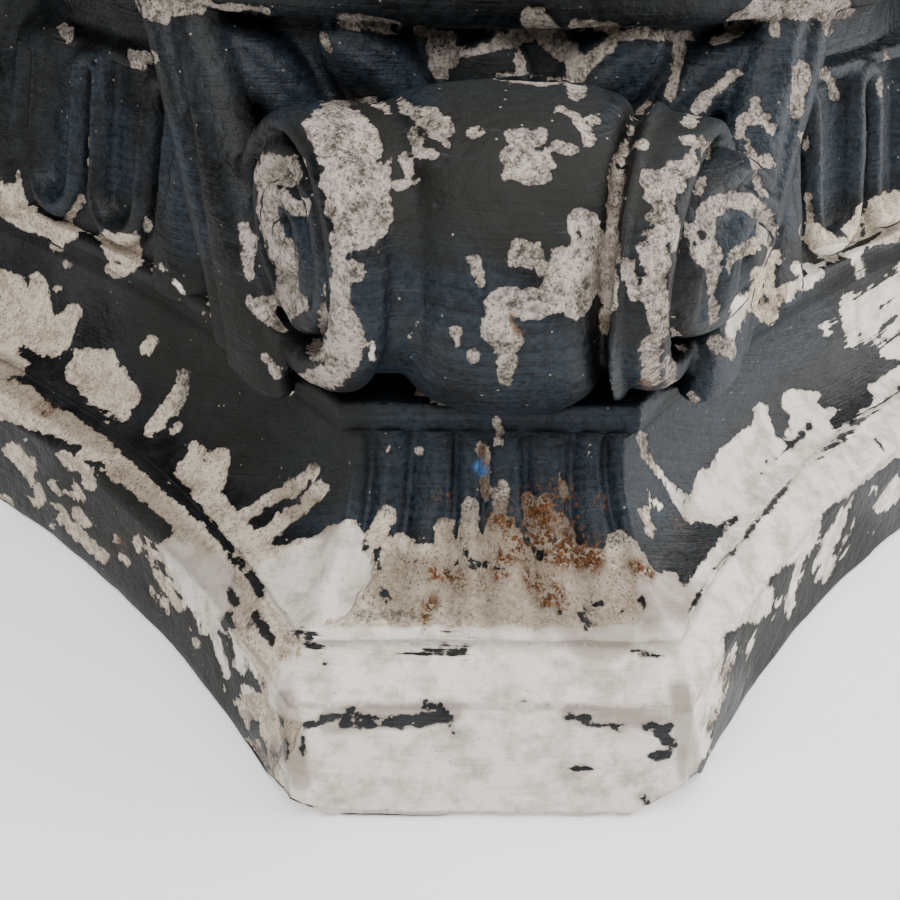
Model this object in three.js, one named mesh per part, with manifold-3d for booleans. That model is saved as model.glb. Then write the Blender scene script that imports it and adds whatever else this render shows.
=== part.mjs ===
// Plaster column base: a scrolled casting that stands on a hollow-sided slab.
// Millimetres, +Z up, the axis of the column is the Z axis and the slab stands on z = 0.
import * as THREE from 'three';
import { mergeVertices } from 'three/addons/utils/BufferGeometryUtils.js';
import Module from 'manifold-3d';

// Foot slab, seen in plan
const cornerReach = 257; // from the axis to each cut-off corner face
const cornerHalfWidth = 45; // half the width of a corner face
const sideHollow = 26; // how far each side curves in between its corners
const sideSteps = 8; // straight pieces that make one curved side

// Foot slab, seen from the side
const faceHeight = 32.5; // plain upright face
const bandHeight = 7.5; // sloping band above the face
const bandInset = 9.3; // how far the band leans in
const bandCornerHalf = 43; // half the width of a corner at the top of the band
const grooveDepth = 2.2; // fine sunk line between band and hollow
const grooveWidth = 2.4;
const hollowHeight = 33; // the big hollow moulding
const hollowInsetSide = 31; // slab face to the top of the hollow, at the sides
const hollowInsetCorner = 49; // the same at the corners
const hollowCornerHalf = 32.5; // half the width of a corner at the top of the hollow
const filletHeight = 7.5; // flat strip that ends the hollow
const filletProud = 2.2; // how far the strip stands out of the hollow

// Neck ring and seat
const ringReach = 166; // radius of the lower edge of the ring
const ringBulge = 4; // how far the ring swells past its lower edge
const ringHeight = 17;
const neckInset = 20; // lower edge of the ring to the neck behind it
const neckHeight = 20; // from the top edge of the tongue ring to the neck ring
const seatInset = 8; // lower edge of the ring to the rim of the flat seat
const seatHeight = 14; // plain drum between the ring and the seat

// Tongue ring
const tongueZoneHeight = 54.5; // from the ledge of the slab to the top edge of the ring
const tongueEdgeProud = 4; // neck to the top edge of the tongue ring, at mid side
const tongueFlare = 9; // how much further out the ring stands at its foot
const tongueWallDepth = 3.5; // how far the wall lies behind the top edge
const tongueEdgeHeight = 4;
const tonguePitch = 31; // from slot to slot
const tongueRimHalf = 4.2; // half the width of the rim that runs around the tongues
const tongueRimHeight = 4.5; // how far the rim stands out of the wall
const slotHalfWidth = 5; // slot middle to the middle of its rim
const tongueFootGap = 5.5; // ledge to the middle of the rim at a tongue's foot
const archDrop = 9; // top edge to the middle of the arch over a slot
const footSquareness = 3; // plan of the wall: 2 is round, more is squarer
const topSquareness = 2.3;
const planSteps = 28; // straight pieces in the plan of the wall and the ring

// Corner scroll, in the corner's own frame: u outward, v to the right, z up
const scrollSetBack = 59; // corner face to the middle of the scroll
const scrollLift = 35.5; // ledge to the middle of the scroll
const scrollValley = 30; // radius between the rolls
const leftRoll = { middle: -29.5, half: 8, rise: 3.5, stations: [-1, 0, 1] };
const middleRoll = { middle: 0, half: 16.5, rise: 9, stations: [-1, -0.6, 0.6, 1] };
const ridgeRoll = { middle: 20.7, half: 2, rise: 4, stations: [0] };
const rightRoll = { middle: 30.2, half: 7.3, rise: 2, stations: [-1, 0, 1] };
const scrollFlare = 0.0105; // share by which the cheeks spread for each millimetre towards the back
const scrollSides = 12;

// Sunk cheek at each end of a scroll, with a domed boss
const cheekDepth = 7; // how far the cheek lies behind the rim of its roll
const rimDepth = 3.6; // roll's end to the inner edge of its rim
const bossRadius = 21.5;
const bossProud = 6; // how far the boss stands out of the rim
const bossSides = 8;

// Stalk beside each scroll
const stalkFootBack = 22; // middle of the scroll to the middle of the stalk's foot
const stalkFootAcross = 58; // diagonal to the middle of the foot
const stalkTopProud = 13; // how far the top stands out of the neck
const stalkTopTurn = 28.5; // degrees from the diagonal to the top
const stalkFootLength = 27; // half the length of the foot, along the ledge
const stalkTopLength = 8;
const stalkThickness = 8; // half its thickness

// Blade between the stalk and the last tongue
const bladeTurn = 29; // degrees from the diagonal
const bladeHeight = 44;
const bladeFootLength = 13; // half the width of its foot
const bladeThickness = 6; // half its thickness
const bladeProud = 1.5; // wall to the middle of the blade

// Palmette behind the scroll: a smooth ground with lobes that fan out on it
const fanSpread = 25; // degrees from the diagonal to the ground's sides
const fanFootRise = 24; // ledge to the foot of the ground
const fanProud = 10; // how far the ground swells out of the neck
const lobeSink = 3; // lobes start this far inside the ground
const lobes = [
  { footAcross: 0, footRise: 44, tipAcross: 0, tipRise: 72, half: 11, height: 8 },
  { footAcross: 10, footRise: 49, tipAcross: 42, tipRise: 71, half: 9.5, height: 9 },
  { footAcross: 36, footRise: 38, tipAcross: 67, tipRise: 70, half: 9.5, height: 11 },
  { footAcross: 55, footRise: 27, tipAcross: 66, tipRise: 53, half: 6, height: 17 },
];

// Leaf in the hollow of each corner
const leafFlutes = 8;
const leafSpread = 3; // how far the leaf laps round the corner's edges
const leafRelief = 3.2; // height of a flute's ridge
const leafProud = 1.2; // how far the leaf's valleys stand out of the hollow
const leafTip = 2.5; // how far the ribs run past the valleys at the foot

// Heights that follow from the sizes above
const bandTop = faceHeight + bandHeight;
const hollowFoot = bandTop + grooveWidth;
const hollowTop = hollowFoot + hollowHeight;
const ledgeZ = hollowTop + filletHeight;
const tongueTopZ = ledgeZ + tongueZoneHeight;
const ringFootZ = tongueTopZ + neckHeight;
const ringTopZ = ringFootZ + ringHeight;
const seatZ = ringTopZ + seatHeight;
const scrollMiddleZ = ledgeZ + scrollLift;

// Reaches that follow from the sizes above
const neckReach = ringReach - neckInset;
const seatReach = ringReach - seatInset;
const tongueTopReach = neckReach + tongueEdgeProud;
const tongueFootReach = tongueTopReach + tongueFlare;
const scrollMiddleU = cornerReach - scrollSetBack;

const quarter = Math.PI / 2;
const upAxis = new THREE.Vector3(0, 0, 1);

const plaster = new THREE.MeshStandardMaterial({ color: 0x2c3034, roughness: 0.62, metalness: 0 });

const wasm = await Module();
wasm.setup();

// Closed triangle mesh from three.js turned into a solid that can be joined
function toSolid(geometry) {
  const bare = geometry.clone();
  bare.deleteAttribute('normal');
  bare.deleteAttribute('uv');
  const merged = mergeVertices(bare, 1e-4);
  return new wasm.Manifold(new wasm.Mesh({
    numProp: 3,
    vertProperties: new Float32Array(merged.attributes.position.array),
    triVerts: new Uint32Array(merged.index.array),
  }));
}

// Skin over rings of equal count, closed at both ends by a fan
function loft(rings) {
  const count = rings[0].length;
  const points = rings.flat();
  const faces = [];
  for (let ring = 0; ring < rings.length - 1; ring += 1) {
    for (let i = 0; i < count; i += 1) {
      const a = ring * count + i;
      const b = ring * count + ((i + 1) % count);
      faces.push(a, b, b + count, a, b + count, a + count);
    }
  }
  const lastStart = (rings.length - 1) * count;
  for (const [start, ring, flip] of [[0, rings[0], true], [lastStart, rings.at(-1), false]]) {
    const middle = new THREE.Vector3();
    ring.forEach((point) => middle.add(point));
    points.push(middle.divideScalar(count));
    for (let i = 0; i < count; i += 1) {
      const a = start + i;
      const b = start + ((i + 1) % count);
      faces.push(points.length - 1, flip ? b : a, flip ? a : b);
    }
  }
  const geometry = new THREE.BufferGeometry().setFromPoints(points);
  geometry.setIndex(faces);
  return geometry;
}

// Fluted sheet over a grid of points, closed behind by a fan to one point inside the casting
function flutedSheet(grid, inside) {
  const columns = grid[0].length;
  const lastRow = grid.length - 1;
  const points = grid.flat();
  const faces = [];
  for (let row = 0; row < lastRow; row += 1) {
    for (let i = 0; i < columns - 1; i += 1) {
      const a = row * columns + i;
      faces.push(a, a + 1, a + 1 + columns, a, a + 1 + columns, a + columns);
    }
  }
  const rim = [];
  for (let i = 0; i < columns - 1; i += 1) rim.push(i);
  for (let row = 0; row < lastRow; row += 1) rim.push(row * columns + columns - 1);
  for (let i = columns - 1; i > 0; i -= 1) rim.push(lastRow * columns + i);
  for (let row = lastRow; row > 0; row -= 1) rim.push(row * columns);
  rim.forEach((a, index) => faces.push(points.length, rim[(index + 1) % rim.length], a));
  points.push(inside);
  const geometry = new THREE.BufferGeometry().setFromPoints(points);
  geometry.setIndex(faces);
  return geometry;
}

// Plan of the slab at one level: hollow sides and cut-off corners, moved in from the slab's face
function slabRing(sideInset, cornerInset, cornerHalf, z) {
  const middle = (cornerReach + cornerHalfWidth) / Math.SQRT2 - sideHollow - sideInset;
  const faceReach = cornerReach - cornerInset;
  const endOut = (faceReach + cornerHalf) / Math.SQRT2;
  const endAcross = (faceReach - cornerHalf) / Math.SQRT2;
  const centre = (endOut ** 2 + endAcross ** 2 - middle ** 2) / (2 * (endOut - middle));
  const sweep = Math.asin(endAcross / (centre - middle));
  const ring = [];
  for (let side = 0; side < 4; side += 1) {
    for (let i = 0; i <= sideSteps; i += 1) {
      const angle = sweep * ((2 * i) / sideSteps - 1);
      const out = centre - (centre - middle) * Math.cos(angle);
      const across = (centre - middle) * Math.sin(angle);
      ring.push(new THREE.Vector3(out, across, z).applyAxisAngle(upAxis, side * quarter));
    }
  }
  return ring;
}

// Profile of the hollow moulding: level at its foot, upright at its top
function hollowAt(share) {
  const angle = share * quarter;
  const startInset = bandInset + 0.6;
  const mix = Math.sin(angle);
  return {
    z: hollowFoot + hollowHeight * (1 - Math.cos(angle)),
    side: startInset + (hollowInsetSide - startInset) * mix,
    corner: startInset + (hollowInsetCorner - startInset) * mix,
    half: bandCornerHalf + (hollowCornerHalf - bandCornerHalf) * mix,
  };
}

function footSlab() {
  const bellyZ = faceHeight + bandHeight * 0.45;
  const grooveInset = bandInset + grooveDepth;
  const rings = [
    slabRing(0, 0, cornerHalfWidth, 0),
    slabRing(0, 0, cornerHalfWidth, faceHeight),
    slabRing(bandInset * 0.3, bandInset * 0.3, cornerHalfWidth, bellyZ),
    slabRing(bandInset, bandInset, bandCornerHalf, bandTop),
    slabRing(grooveInset, grooveInset, bandCornerHalf - 1, bandTop + grooveWidth * 0.4),
  ];
  for (const share of [0.06, 0.35, 0.65, 1]) {
    const level = hollowAt(share);
    rings.push(slabRing(level.side, level.corner, level.half, level.z));
  }
  const stripSide = hollowInsetSide - filletProud;
  const stripCorner = hollowInsetCorner - filletProud;
  for (const z of [hollowTop + 0.4, ledgeZ]) {
    rings.push(slabRing(stripSide, stripCorner, hollowCornerHalf + filletProud, z));
  }
  return loft(rings);
}

// Squarish plan of the wall behind the tongues
function wallReach(angle, reach, squareness) {
  const cosine = Math.abs(Math.cos(angle)) ** squareness;
  const sine = Math.abs(Math.sin(angle)) ** squareness;
  return reach / (cosine + sine) ** (1 / squareness);
}

function wallRing(reach, z, squareness) {
  return Array.from({ length: planSteps }, (_, i) => {
    const angle = (i / planSteps) * 2 * Math.PI;
    const radius = wallReach(angle, reach, squareness);
    return new THREE.Vector3(radius * Math.cos(angle), radius * Math.sin(angle), z);
  });
}

function squarenessAt(z) {
  const share = THREE.MathUtils.clamp((z - ledgeZ) / tongueZoneHeight, 0, 1);
  return footSquareness + (topSquareness - footSquareness) * share;
}

// Front of the tongue ring at one height: it flares towards its foot
function tongueReachAt(z) {
  const share = THREE.MathUtils.clamp((z - ledgeZ) / tongueZoneHeight, 0, 1);
  return tongueFootReach + (tongueTopReach - tongueFootReach) * share;
}

// Body from inside the slab up to the seat: wall, neck, ring and drum
function bodyCore() {
  const edgeFootZ = tongueTopZ - tongueEdgeHeight;
  const rings = [];
  for (const z of [ledgeZ - 12, edgeFootZ - 1]) {
    rings.push(wallRing(tongueReachAt(z) - tongueWallDepth, z, squarenessAt(z)));
  }
  rings.push(wallRing(tongueReachAt(edgeFootZ), edgeFootZ + 0.5, squarenessAt(edgeFootZ)));
  rings.push(wallRing(tongueTopReach, tongueTopZ, squarenessAt(tongueTopZ)));
  rings.push(wallRing(neckReach, tongueTopZ + 1, 2.15));
  rings.push(wallRing(neckReach + 3, ringFootZ - 2, 2));
  rings.push(wallRing(ringReach, ringFootZ, 2));
  for (const angle of [-38, 38]) {
    const turn = THREE.MathUtils.degToRad(angle);
    const z = ringFootZ + ringHeight * (0.5 + 0.5 * Math.sin(turn));
    rings.push(wallRing(ringReach + ringBulge * Math.cos(turn), z, 2));
  }
  rings.push(wallRing(seatReach, ringTopZ, 2));
  rings.push(wallRing(seatReach, seatZ, 2));
  return loft(rings);
}

// Route of the rim along one side: down beside a slot, round a tongue's foot, up, over the next slot
function tongueRoute() {
  const footZ = ledgeZ + tongueFootGap;
  const archZ = tongueTopZ - archDrop;
  const footHalf = tonguePitch / 2 - slotHalfWidth;
  const route = [[-tonguePitch - slotHalfWidth, footZ + footHalf]];
  for (const slot of [-tonguePitch, 0, tonguePitch]) {
    if (slot > -tonguePitch) {
      for (let i = 0; i <= 5; i += 1) {
        const turn = Math.PI * (i / 5);
        const across = slot - tonguePitch / 2 - footHalf * Math.cos(turn);
        route.push([across, footZ + footHalf * (1 - Math.sin(turn))]);
      }
    }
    for (let i = 0; i <= 3; i += 1) {
      const turn = Math.PI * (i / 3);
      route.push([slot - slotHalfWidth * Math.cos(turn), archZ + slotHalfWidth * Math.sin(turn)]);
    }
  }
  route.push([tonguePitch + slotHalfWidth, footZ + footHalf]);
  return route;
}

// Raised rim on the wall of one side, with a flat-topped section
function tongueRim(side) {
  const route = tongueRoute();
  const section = [[1, -2], [0.6, tongueRimHeight], [-0.6, tongueRimHeight], [-1, -2]];
  const rings = route.map(([across, z], i) => {
    const before = route[Math.max(i - 1, 0)];
    const after = route[Math.min(i + 1, route.length - 1)];
    const heading = Math.atan2(after[1] - before[1], after[0] - before[0]);
    return section.map(([width, height]) => {
      const w = width * tongueRimHalf;
      return onWall(across - w * Math.sin(heading), z + w * Math.cos(heading), height);
    });
  });
  return loft(rings).rotateZ(side * quarter);
}

// Point on the wall of the +X side, raised from it by the given height
function onWall(across, z, height) {
  const reach = tongueReachAt(z) - tongueWallDepth + height;
  const squareness = squarenessAt(z);
  const out = (reach ** squareness - Math.abs(across) ** squareness) ** (1 / squareness);
  return new THREE.Vector3(out, across, z);
}

// The cheeks of a scroll spread towards its back
function flared(u, v, z) {
  const front = scrollMiddleU + scrollValley + leftRoll.rise;
  return new THREE.Vector3(u, v * (1 + scrollFlare * (front - u)), z);
}

// Ring of points round the scroll's own axis
function scrollRing(across, radius, sides) {
  return Array.from({ length: sides }, (_, i) => {
    const angle = (i / sides) * 2 * Math.PI;
    return flared(scrollMiddleU + radius * Math.cos(angle), across, scrollMiddleZ - radius * Math.sin(angle));
  });
}

// Bulging rolls side by side, with the cheeks sunk behind the ends of the outer rolls
function scrollBody() {
  const innerRadius = scrollValley - rimDepth;
  const leftEnd = leftRoll.middle - leftRoll.half;
  const rightEnd = rightRoll.middle + rightRoll.half;
  const rings = [
    scrollRing(leftEnd + cheekDepth, innerRadius - 1, scrollSides),
    scrollRing(leftEnd, innerRadius, scrollSides),
  ];
  for (const roll of [leftRoll, middleRoll, ridgeRoll, rightRoll]) {
    for (const share of roll.stations) {
      const radius = scrollValley + roll.rise * Math.sqrt(1 - share ** 2);
      rings.push(scrollRing(roll.middle + roll.half * share, radius, scrollSides));
    }
  }
  rings.push(scrollRing(rightEnd, innerRadius, scrollSides));
  rings.push(scrollRing(rightEnd - cheekDepth, innerRadius - 1, scrollSides));
  return loft(rings);
}

// Domed boss that stands on a sunk cheek
function scrollBoss(side) {
  const roll = side < 0 ? leftRoll : rightRoll;
  const cheek = roll.middle + side * (roll.half - cheekDepth);
  const top = cheekDepth + bossProud;
  const rings = [[1, -3], [1, cheekDepth], [0.5, top]].map(([share, out]) => (
    scrollRing(cheek + side * out, bossRadius * share, bossSides)
  ));
  return loft(side < 0 ? rings.reverse() : rings);
}

// Upright leaf-like web, given by oval sections from foot to top
function web(sections, sides) {
  return loft(sections.map(({ u, v, z, turn, length, thickness }) => {
    const along = THREE.MathUtils.degToRad(turn);
    return Array.from({ length: sides }, (_, i) => {
      const angle = (i / sides) * 2 * Math.PI;
      const a = length * Math.cos(angle);
      const b = thickness * Math.sin(angle);
      return new THREE.Vector3(
        u + a * Math.cos(along) - b * Math.sin(along),
        v + a * Math.sin(along) + b * Math.cos(along),
        z,
      );
    });
  }));
}

// Stalk that sweeps from under the ring down to the front of the scroll, long at its foot
function stalk(side) {
  const topTurn = THREE.MathUtils.degToRad(stalkTopTurn);
  const topReach = neckReach + stalkTopProud;
  const foot = new THREE.Vector3(scrollMiddleU - stalkFootBack, stalkFootAcross, ledgeZ - 4);
  const top = new THREE.Vector3(topReach * Math.cos(topTurn), topReach * Math.sin(topTurn), ringFootZ - 4);
  return web([0, 0.27, 0.62, 1].map((share) => {
    const sweep = share ** 1.3;
    return {
      u: foot.x + (top.x - foot.x) * sweep,
      v: side * (foot.y + (top.y - foot.y) * sweep),
      z: foot.z + (top.z - foot.z) * share,
      turn: -side * (20 + 44 * share ** 1.5),
      length: stalkTopLength + (stalkFootLength - stalkTopLength) * (1 - share) ** 1.5,
      thickness: stalkThickness,
    };
  }), 6);
}

// Pointed blade against the wall between the stalk and the last tongue
function blade(side) {
  const turn = THREE.MathUtils.degToRad(bladeTurn);
  return web([0, 0.45, 1].map((share) => {
    const z = ledgeZ - 4 + (bladeHeight + 4) * share;
    const wall = tongueReachAt(z) - tongueWallDepth;
    const reach = wallReach(quarter / 2 - turn, wall, squarenessAt(z)) + bladeProud;
    return {
      u: reach * Math.cos(turn),
      v: side * reach * Math.sin(turn),
      z,
      turn: -side * 50,
      length: bladeFootLength * (1 - 0.8 * share),
      thickness: bladeThickness,
    };
  }), 5);
}

// Ground of the palmette: it swells out of the neck behind the lobes
function fanGround() {
  const spread = THREE.MathUtils.degToRad(fanSpread);
  const footZ = ledgeZ + fanFootRise;
  const behind = neckReach - 18;
  return loft([0, 1].map((share) => {
    const reach = neckReach + fanProud * Math.sqrt(Math.sin((0.25 + 0.65 * share) * Math.PI));
    const z = footZ + (ringFootZ + 1 - footZ) * share;
    const turns = [-1, -0.5, 0, 0.5, 1].map((step) => step * spread * (0.8 + 0.2 * share));
    const front = turns.map((turn) => new THREE.Vector3(reach * Math.cos(turn), reach * Math.sin(turn), z));
    const back = turns.map((turn) => new THREE.Vector3(behind * Math.cos(turn), behind * Math.sin(turn), z));
    return [...front, ...back.reverse()];
  }));
}

// Lobe of the palmette, fullest at its middle and lifted at its tip
function lobeLeaf(lobe, side) {
  const foot = new THREE.Vector2(side * lobe.footAcross, ledgeZ + lobe.footRise);
  const tip = new THREE.Vector2(side * lobe.tipAcross, ledgeZ + lobe.tipRise);
  const heading = tip.clone().sub(foot).normalize();
  const groundReach = neckReach + fanProud;
  return loft([0.04, 0.35, 0.7, 0.97].map((share) => {
    const full = Math.sin(Math.PI * share ** 1.25) ** 0.65;
    const middle = foot.clone().lerp(tip, share);
    const lift = 2.5 * share ** 3 - lobeSink;
    return [[1, -lobeSink], [0, lobe.height * Math.sqrt(full)], [-1, -lobeSink]].map(([place, out]) => {
      const across = middle.x - heading.y * place * lobe.half * full;
      const z = middle.y + heading.x * place * lobe.half * full;
      const turn = across / groundReach;
      const reach = groundReach + lift + out;
      return new THREE.Vector3(reach * Math.cos(turn), reach * Math.sin(turn), z);
    });
  }));
}

// Fluted leaf that fills the hollow at a corner
function cornerLeaf() {
  const columns = leafFlutes * 2;
  const topHalf = hollowCornerHalf + leafSpread;
  const footHalf = bandCornerHalf + 2 * leafSpread;
  const grid = [0.1, 0.5, 1].map((share) => {
    const level = hollowAt(share);
    const half = topHalf + (footHalf - topHalf) * (1 - share) ** 1.5;
    const lean = share * quarter;
    return Array.from({ length: columns + 1 }, (_, i) => {
      const ridge = i % 2;
      const edge = i === 0 || i === columns ? -2 : 0;
      const out = leafProud + ridge * leafRelief + edge;
      const tip = share < 0.2 ? ridge * leafTip : 0;
      const reach = cornerReach - level.corner + out * Math.sin(lean) + tip;
      return new THREE.Vector3(reach, half * ((2 * i) / columns - 1), level.z + out * Math.cos(lean));
    });
  });
  return flutedSheet(grid, new THREE.Vector3(cornerReach - hollowInsetCorner - 30, 0, faceHeight * 0.7));
}

function cornerPieces() {
  return [
    scrollBody(),
    scrollBoss(-1),
    scrollBoss(1),
    stalk(-1),
    stalk(1),
    blade(-1),
    blade(1),
    fanGround(),
    lobeLeaf(lobes[0], 1),
    ...lobes.slice(1).flatMap((lobe) => [lobeLeaf(lobe, -1), lobeLeaf(lobe, 1)]),
    cornerLeaf(),
  ];
}

// Everything is one casting, so the forms are joined into one solid
let casting = toSolid(footSlab()).add(toSolid(bodyCore()));
for (let side = 0; side < 4; side += 1) {
  casting = casting.add(toSolid(tongueRim(side)));
  for (const piece of cornerPieces()) {
    casting = casting.add(toSolid(piece.rotateZ((side - 0.5) * quarter)));
  }
}

const joined = casting.getMesh();
const castingGeometry = new THREE.BufferGeometry();
castingGeometry.setAttribute('position', new THREE.BufferAttribute(joined.vertProperties, 3));
castingGeometry.setIndex(new THREE.BufferAttribute(joined.triVerts, 1));
castingGeometry.computeVertexNormals();

const columnBase = new THREE.Mesh(castingGeometry, plaster);
columnBase.name = 'column_base';

const part = new THREE.Group();
part.add(columnBase);

export default part;
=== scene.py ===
import math

import bmesh
import bpy
import numpy as np
from mathutils import Matrix, Vector, noise
from mathutils.bvhtree import BVHTree


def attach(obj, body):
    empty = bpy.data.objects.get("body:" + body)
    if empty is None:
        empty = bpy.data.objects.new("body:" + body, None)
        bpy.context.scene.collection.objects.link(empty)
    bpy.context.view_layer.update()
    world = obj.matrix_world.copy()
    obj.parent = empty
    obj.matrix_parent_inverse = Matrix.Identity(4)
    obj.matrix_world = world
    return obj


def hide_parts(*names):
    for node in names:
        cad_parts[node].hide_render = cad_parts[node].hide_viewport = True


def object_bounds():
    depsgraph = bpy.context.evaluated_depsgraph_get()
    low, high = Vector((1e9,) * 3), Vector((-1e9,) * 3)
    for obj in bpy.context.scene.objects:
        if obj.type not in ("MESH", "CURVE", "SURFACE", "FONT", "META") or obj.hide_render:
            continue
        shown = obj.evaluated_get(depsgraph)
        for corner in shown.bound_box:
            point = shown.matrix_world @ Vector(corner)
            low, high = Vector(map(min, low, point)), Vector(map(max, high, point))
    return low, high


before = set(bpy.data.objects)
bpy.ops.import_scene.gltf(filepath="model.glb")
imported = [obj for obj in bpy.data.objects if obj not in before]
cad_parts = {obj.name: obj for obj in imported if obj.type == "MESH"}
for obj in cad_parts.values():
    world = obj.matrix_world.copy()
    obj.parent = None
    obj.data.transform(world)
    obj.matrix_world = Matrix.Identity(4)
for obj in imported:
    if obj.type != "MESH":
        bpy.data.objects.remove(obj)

cad_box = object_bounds()


# Foot slab. In the real base it is plaster run with a shaped template: a square slab with
# hollow sides and cut-off corners, a sloping band, a sunk line, a deep hollow and a flat strip.
# A fluted leaf, carved in the hollow of each corner, is part of the same casting.
mm = 0.001
quarter = math.pi / 2
corner_reach = 257
corner_half = 45
side_hollow = 26
face_height = 32.5
band_height = 7.5
band_inset = 9.3
band_corner_half = 43
groove_depth = 2.2
groove_width = 2.4
hollow_height = 33
hollow_inset_side = 31
hollow_inset_corner = 49
hollow_corner_half = 32.5
strip_height = 7.5
strip_proud = 2.2
edge_round = 0.9
leaf_flutes = 8
leaf_relief = 3.4
leaf_edge = 3
arris_round = 0.7
hollow_lip = 0.6
strip_round = 0.5
groove_profile = ((0.7, 0.1), (1, 0.45), (0.9, 0.75))
insets_under_carving = (1.6, 6, 14, 24, 40)
side_columns = 101
corner_columns = 82
crowding = 0.65

band_top = face_height + band_height
hollow_foot = band_top + groove_width
hollow_top = hollow_foot + hollow_height
ledge_z = hollow_top + strip_height


def turned(points, angle):
    """The same points, turned about the upright axis of the column."""
    cosine, sine = math.cos(angle), math.sin(angle)
    points = np.asarray(points, float)
    x, y = points[..., 0], points[..., 1]
    return np.stack([x * cosine - y * sine, x * sine + y * cosine, points[..., 2]], -1)


def pulled(name, outlines):
    """A face is extruded from one outline to the next, which leaves a closed shape."""
    bpy.ops.object.select_all(action='DESELECT')
    bpy.ops.mesh.primitive_circle_add(vertices=len(outlines[0]), radius=0.05, fill_type='NGON')
    piece = bpy.context.object
    piece.name = piece.data.name = name
    bpy.ops.object.mode_set(mode='EDIT')
    before = None
    for outline in outlines:
        if before is not None:
            bpy.ops.mesh.extrude_region_move()
        shape = bmesh.from_edit_mesh(piece.data)
        front = next(face for face in shape.faces if face.select)
        corners = [loop.vert for loop in front.loops]
        count = len(corners)
        start, step = 0, 1
        if before is not None:
            near = np.linalg.norm(before - np.array(corners[0].co), axis=1)
            start = int(near.argmin())
            ahead = np.linalg.norm(before[(start + 1) % count] - np.array(corners[1].co))
            behind = np.linalg.norm(before[start - 1] - np.array(corners[1].co))
            step = 1 if ahead <= behind else -1
        before = np.asarray(outline, float) * mm
        for index, corner in enumerate(corners):
            corner.co = before[(start + step * index) % count]
    bpy.ops.mesh.select_all(action='SELECT')
    bpy.ops.mesh.normals_make_consistent(inside=False)
    bpy.ops.object.mode_set(mode='OBJECT')
    return piece


def slab_columns():
    """Shares along one side, closer together towards the corners and across them."""
    even = np.linspace(0, 1, side_columns)
    crowded = 0.5 - 0.5 * np.cos(math.pi * even)
    corner = np.linspace(-1, 1, corner_columns)[1:-1]
    return (1 - crowding) * even + crowding * crowded, corner


def slab_outline(side_inset, corner_inset, half, z, leaf=0.0, lean=0.0):
    """One level of the slab, with the leaf's flutes raised by `leaf` where the corner is."""
    middle = (corner_reach + corner_half) / math.sqrt(2) - side_hollow - side_inset
    reach = corner_reach - corner_inset
    end_out, end_across = (reach + half) / math.sqrt(2), (reach - half) / math.sqrt(2)
    centre = (end_out ** 2 + end_across ** 2 - middle ** 2) / (2 * (end_out - middle))
    sweep = math.asin(end_across / (centre - middle))
    side_shares, corner_shares = slab_columns()
    angle = sweep * (2 * side_shares - 1)
    side = np.stack([
        centre - (centre - middle) * np.cos(angle),
        (centre - middle) * np.sin(angle),
        np.full_like(angle, z),
    ], -1)
    corner = np.stack([
        np.full_like(corner_shares, reach),
        half * corner_shares,
        np.full_like(corner_shares, z),
    ], -1)
    side = turned(side, -quarter / 2)
    outline = np.concatenate([side, corner])
    place = outline[:, 1] / (half + leaf_edge)
    on_leaf = (np.abs(place) < 1) & (outline[:, 0] > reach - leaf_edge * 3)
    uneven = place + 0.035 * np.sin(place * 7 + 0.6) + 0.02 * np.sin(place * 13 + lean * 2)
    ridge = np.abs(np.sin((uneven + 1) * math.pi * leaf_flutes / 2)) ** 0.6
    rise = leaf * (0.35 + ridge) * np.clip((1 - np.abs(place)) * 9, 0, 1)
    rise = np.where(on_leaf, rise, 0) * leaf_relief
    outline[:, 0] += rise * math.sin(lean)
    outline[:, 2] += rise * math.cos(lean)
    return outline


def slab_ring(*level, **leaf):
    """All four sides and corners of one level. A side ends where the corner begins."""
    part = slab_outline(*level, **leaf)
    return np.concatenate([turned(part, (side - 0.5) * quarter) for side in range(4)])


def hollow_level(share):
    """The hollow starts level at its foot and ends upright under the strip."""
    angle = share * quarter
    start = band_inset + hollow_lip
    mix = math.sin(angle)
    return (
        start + (hollow_inset_side - start) * mix,
        start + (hollow_inset_corner - start) * mix,
        band_corner_half + (hollow_corner_half - band_corner_half) * mix,
        hollow_foot + hollow_height * (1 - math.cos(angle)),
    )


levels = [slab_ring(edge_round, edge_round, corner_half - edge_round, 0)]
for share in (0.35, 0.7, 1):
    sunk = edge_round * (1 - math.sin(share * quarter))
    raised = edge_round * (1 - math.cos(share * quarter))
    levels.append(slab_ring(sunk, sunk, corner_half - sunk, raised))
for share in np.linspace(0.1, 1, 14):
    z = edge_round + (face_height - arris_round - edge_round) * share
    levels.append(slab_ring(0, 0, corner_half, z))
for share in np.linspace(0, 1, 7):
    inset = band_inset * (0.12 * share + 0.88 * share ** 1.7)
    half = corner_half + (band_corner_half - corner_half) * share
    levels.append(slab_ring(inset, inset, half, face_height + band_height * share ** 0.9))
for depth, rise in groove_profile:
    inset = band_inset + groove_depth * depth
    half = band_corner_half - groove_depth / 2
    levels.append(slab_ring(inset, inset, half, band_top + groove_width * rise))
for share in np.linspace(0.02, 1, 26):
    raised = min(1, 0.45 + share * 1.6) * min(1, share * 14)
    levels.append(slab_ring(*hollow_level(share), leaf=raised, lean=share * quarter))
strip_side = hollow_inset_side - strip_proud
strip_corner = hollow_inset_corner - strip_proud
strip_half = hollow_corner_half + strip_proud
strip_edge = (strip_side + strip_round, strip_corner + strip_round, strip_half - strip_round)
levels.append(slab_ring(*strip_edge, hollow_top + 0.1))
for share in np.linspace(0, 1, 5):
    z = hollow_top + 0.6 + (strip_height - 1.8) * share
    levels.append(slab_ring(strip_side, strip_corner, strip_half, z))
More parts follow.
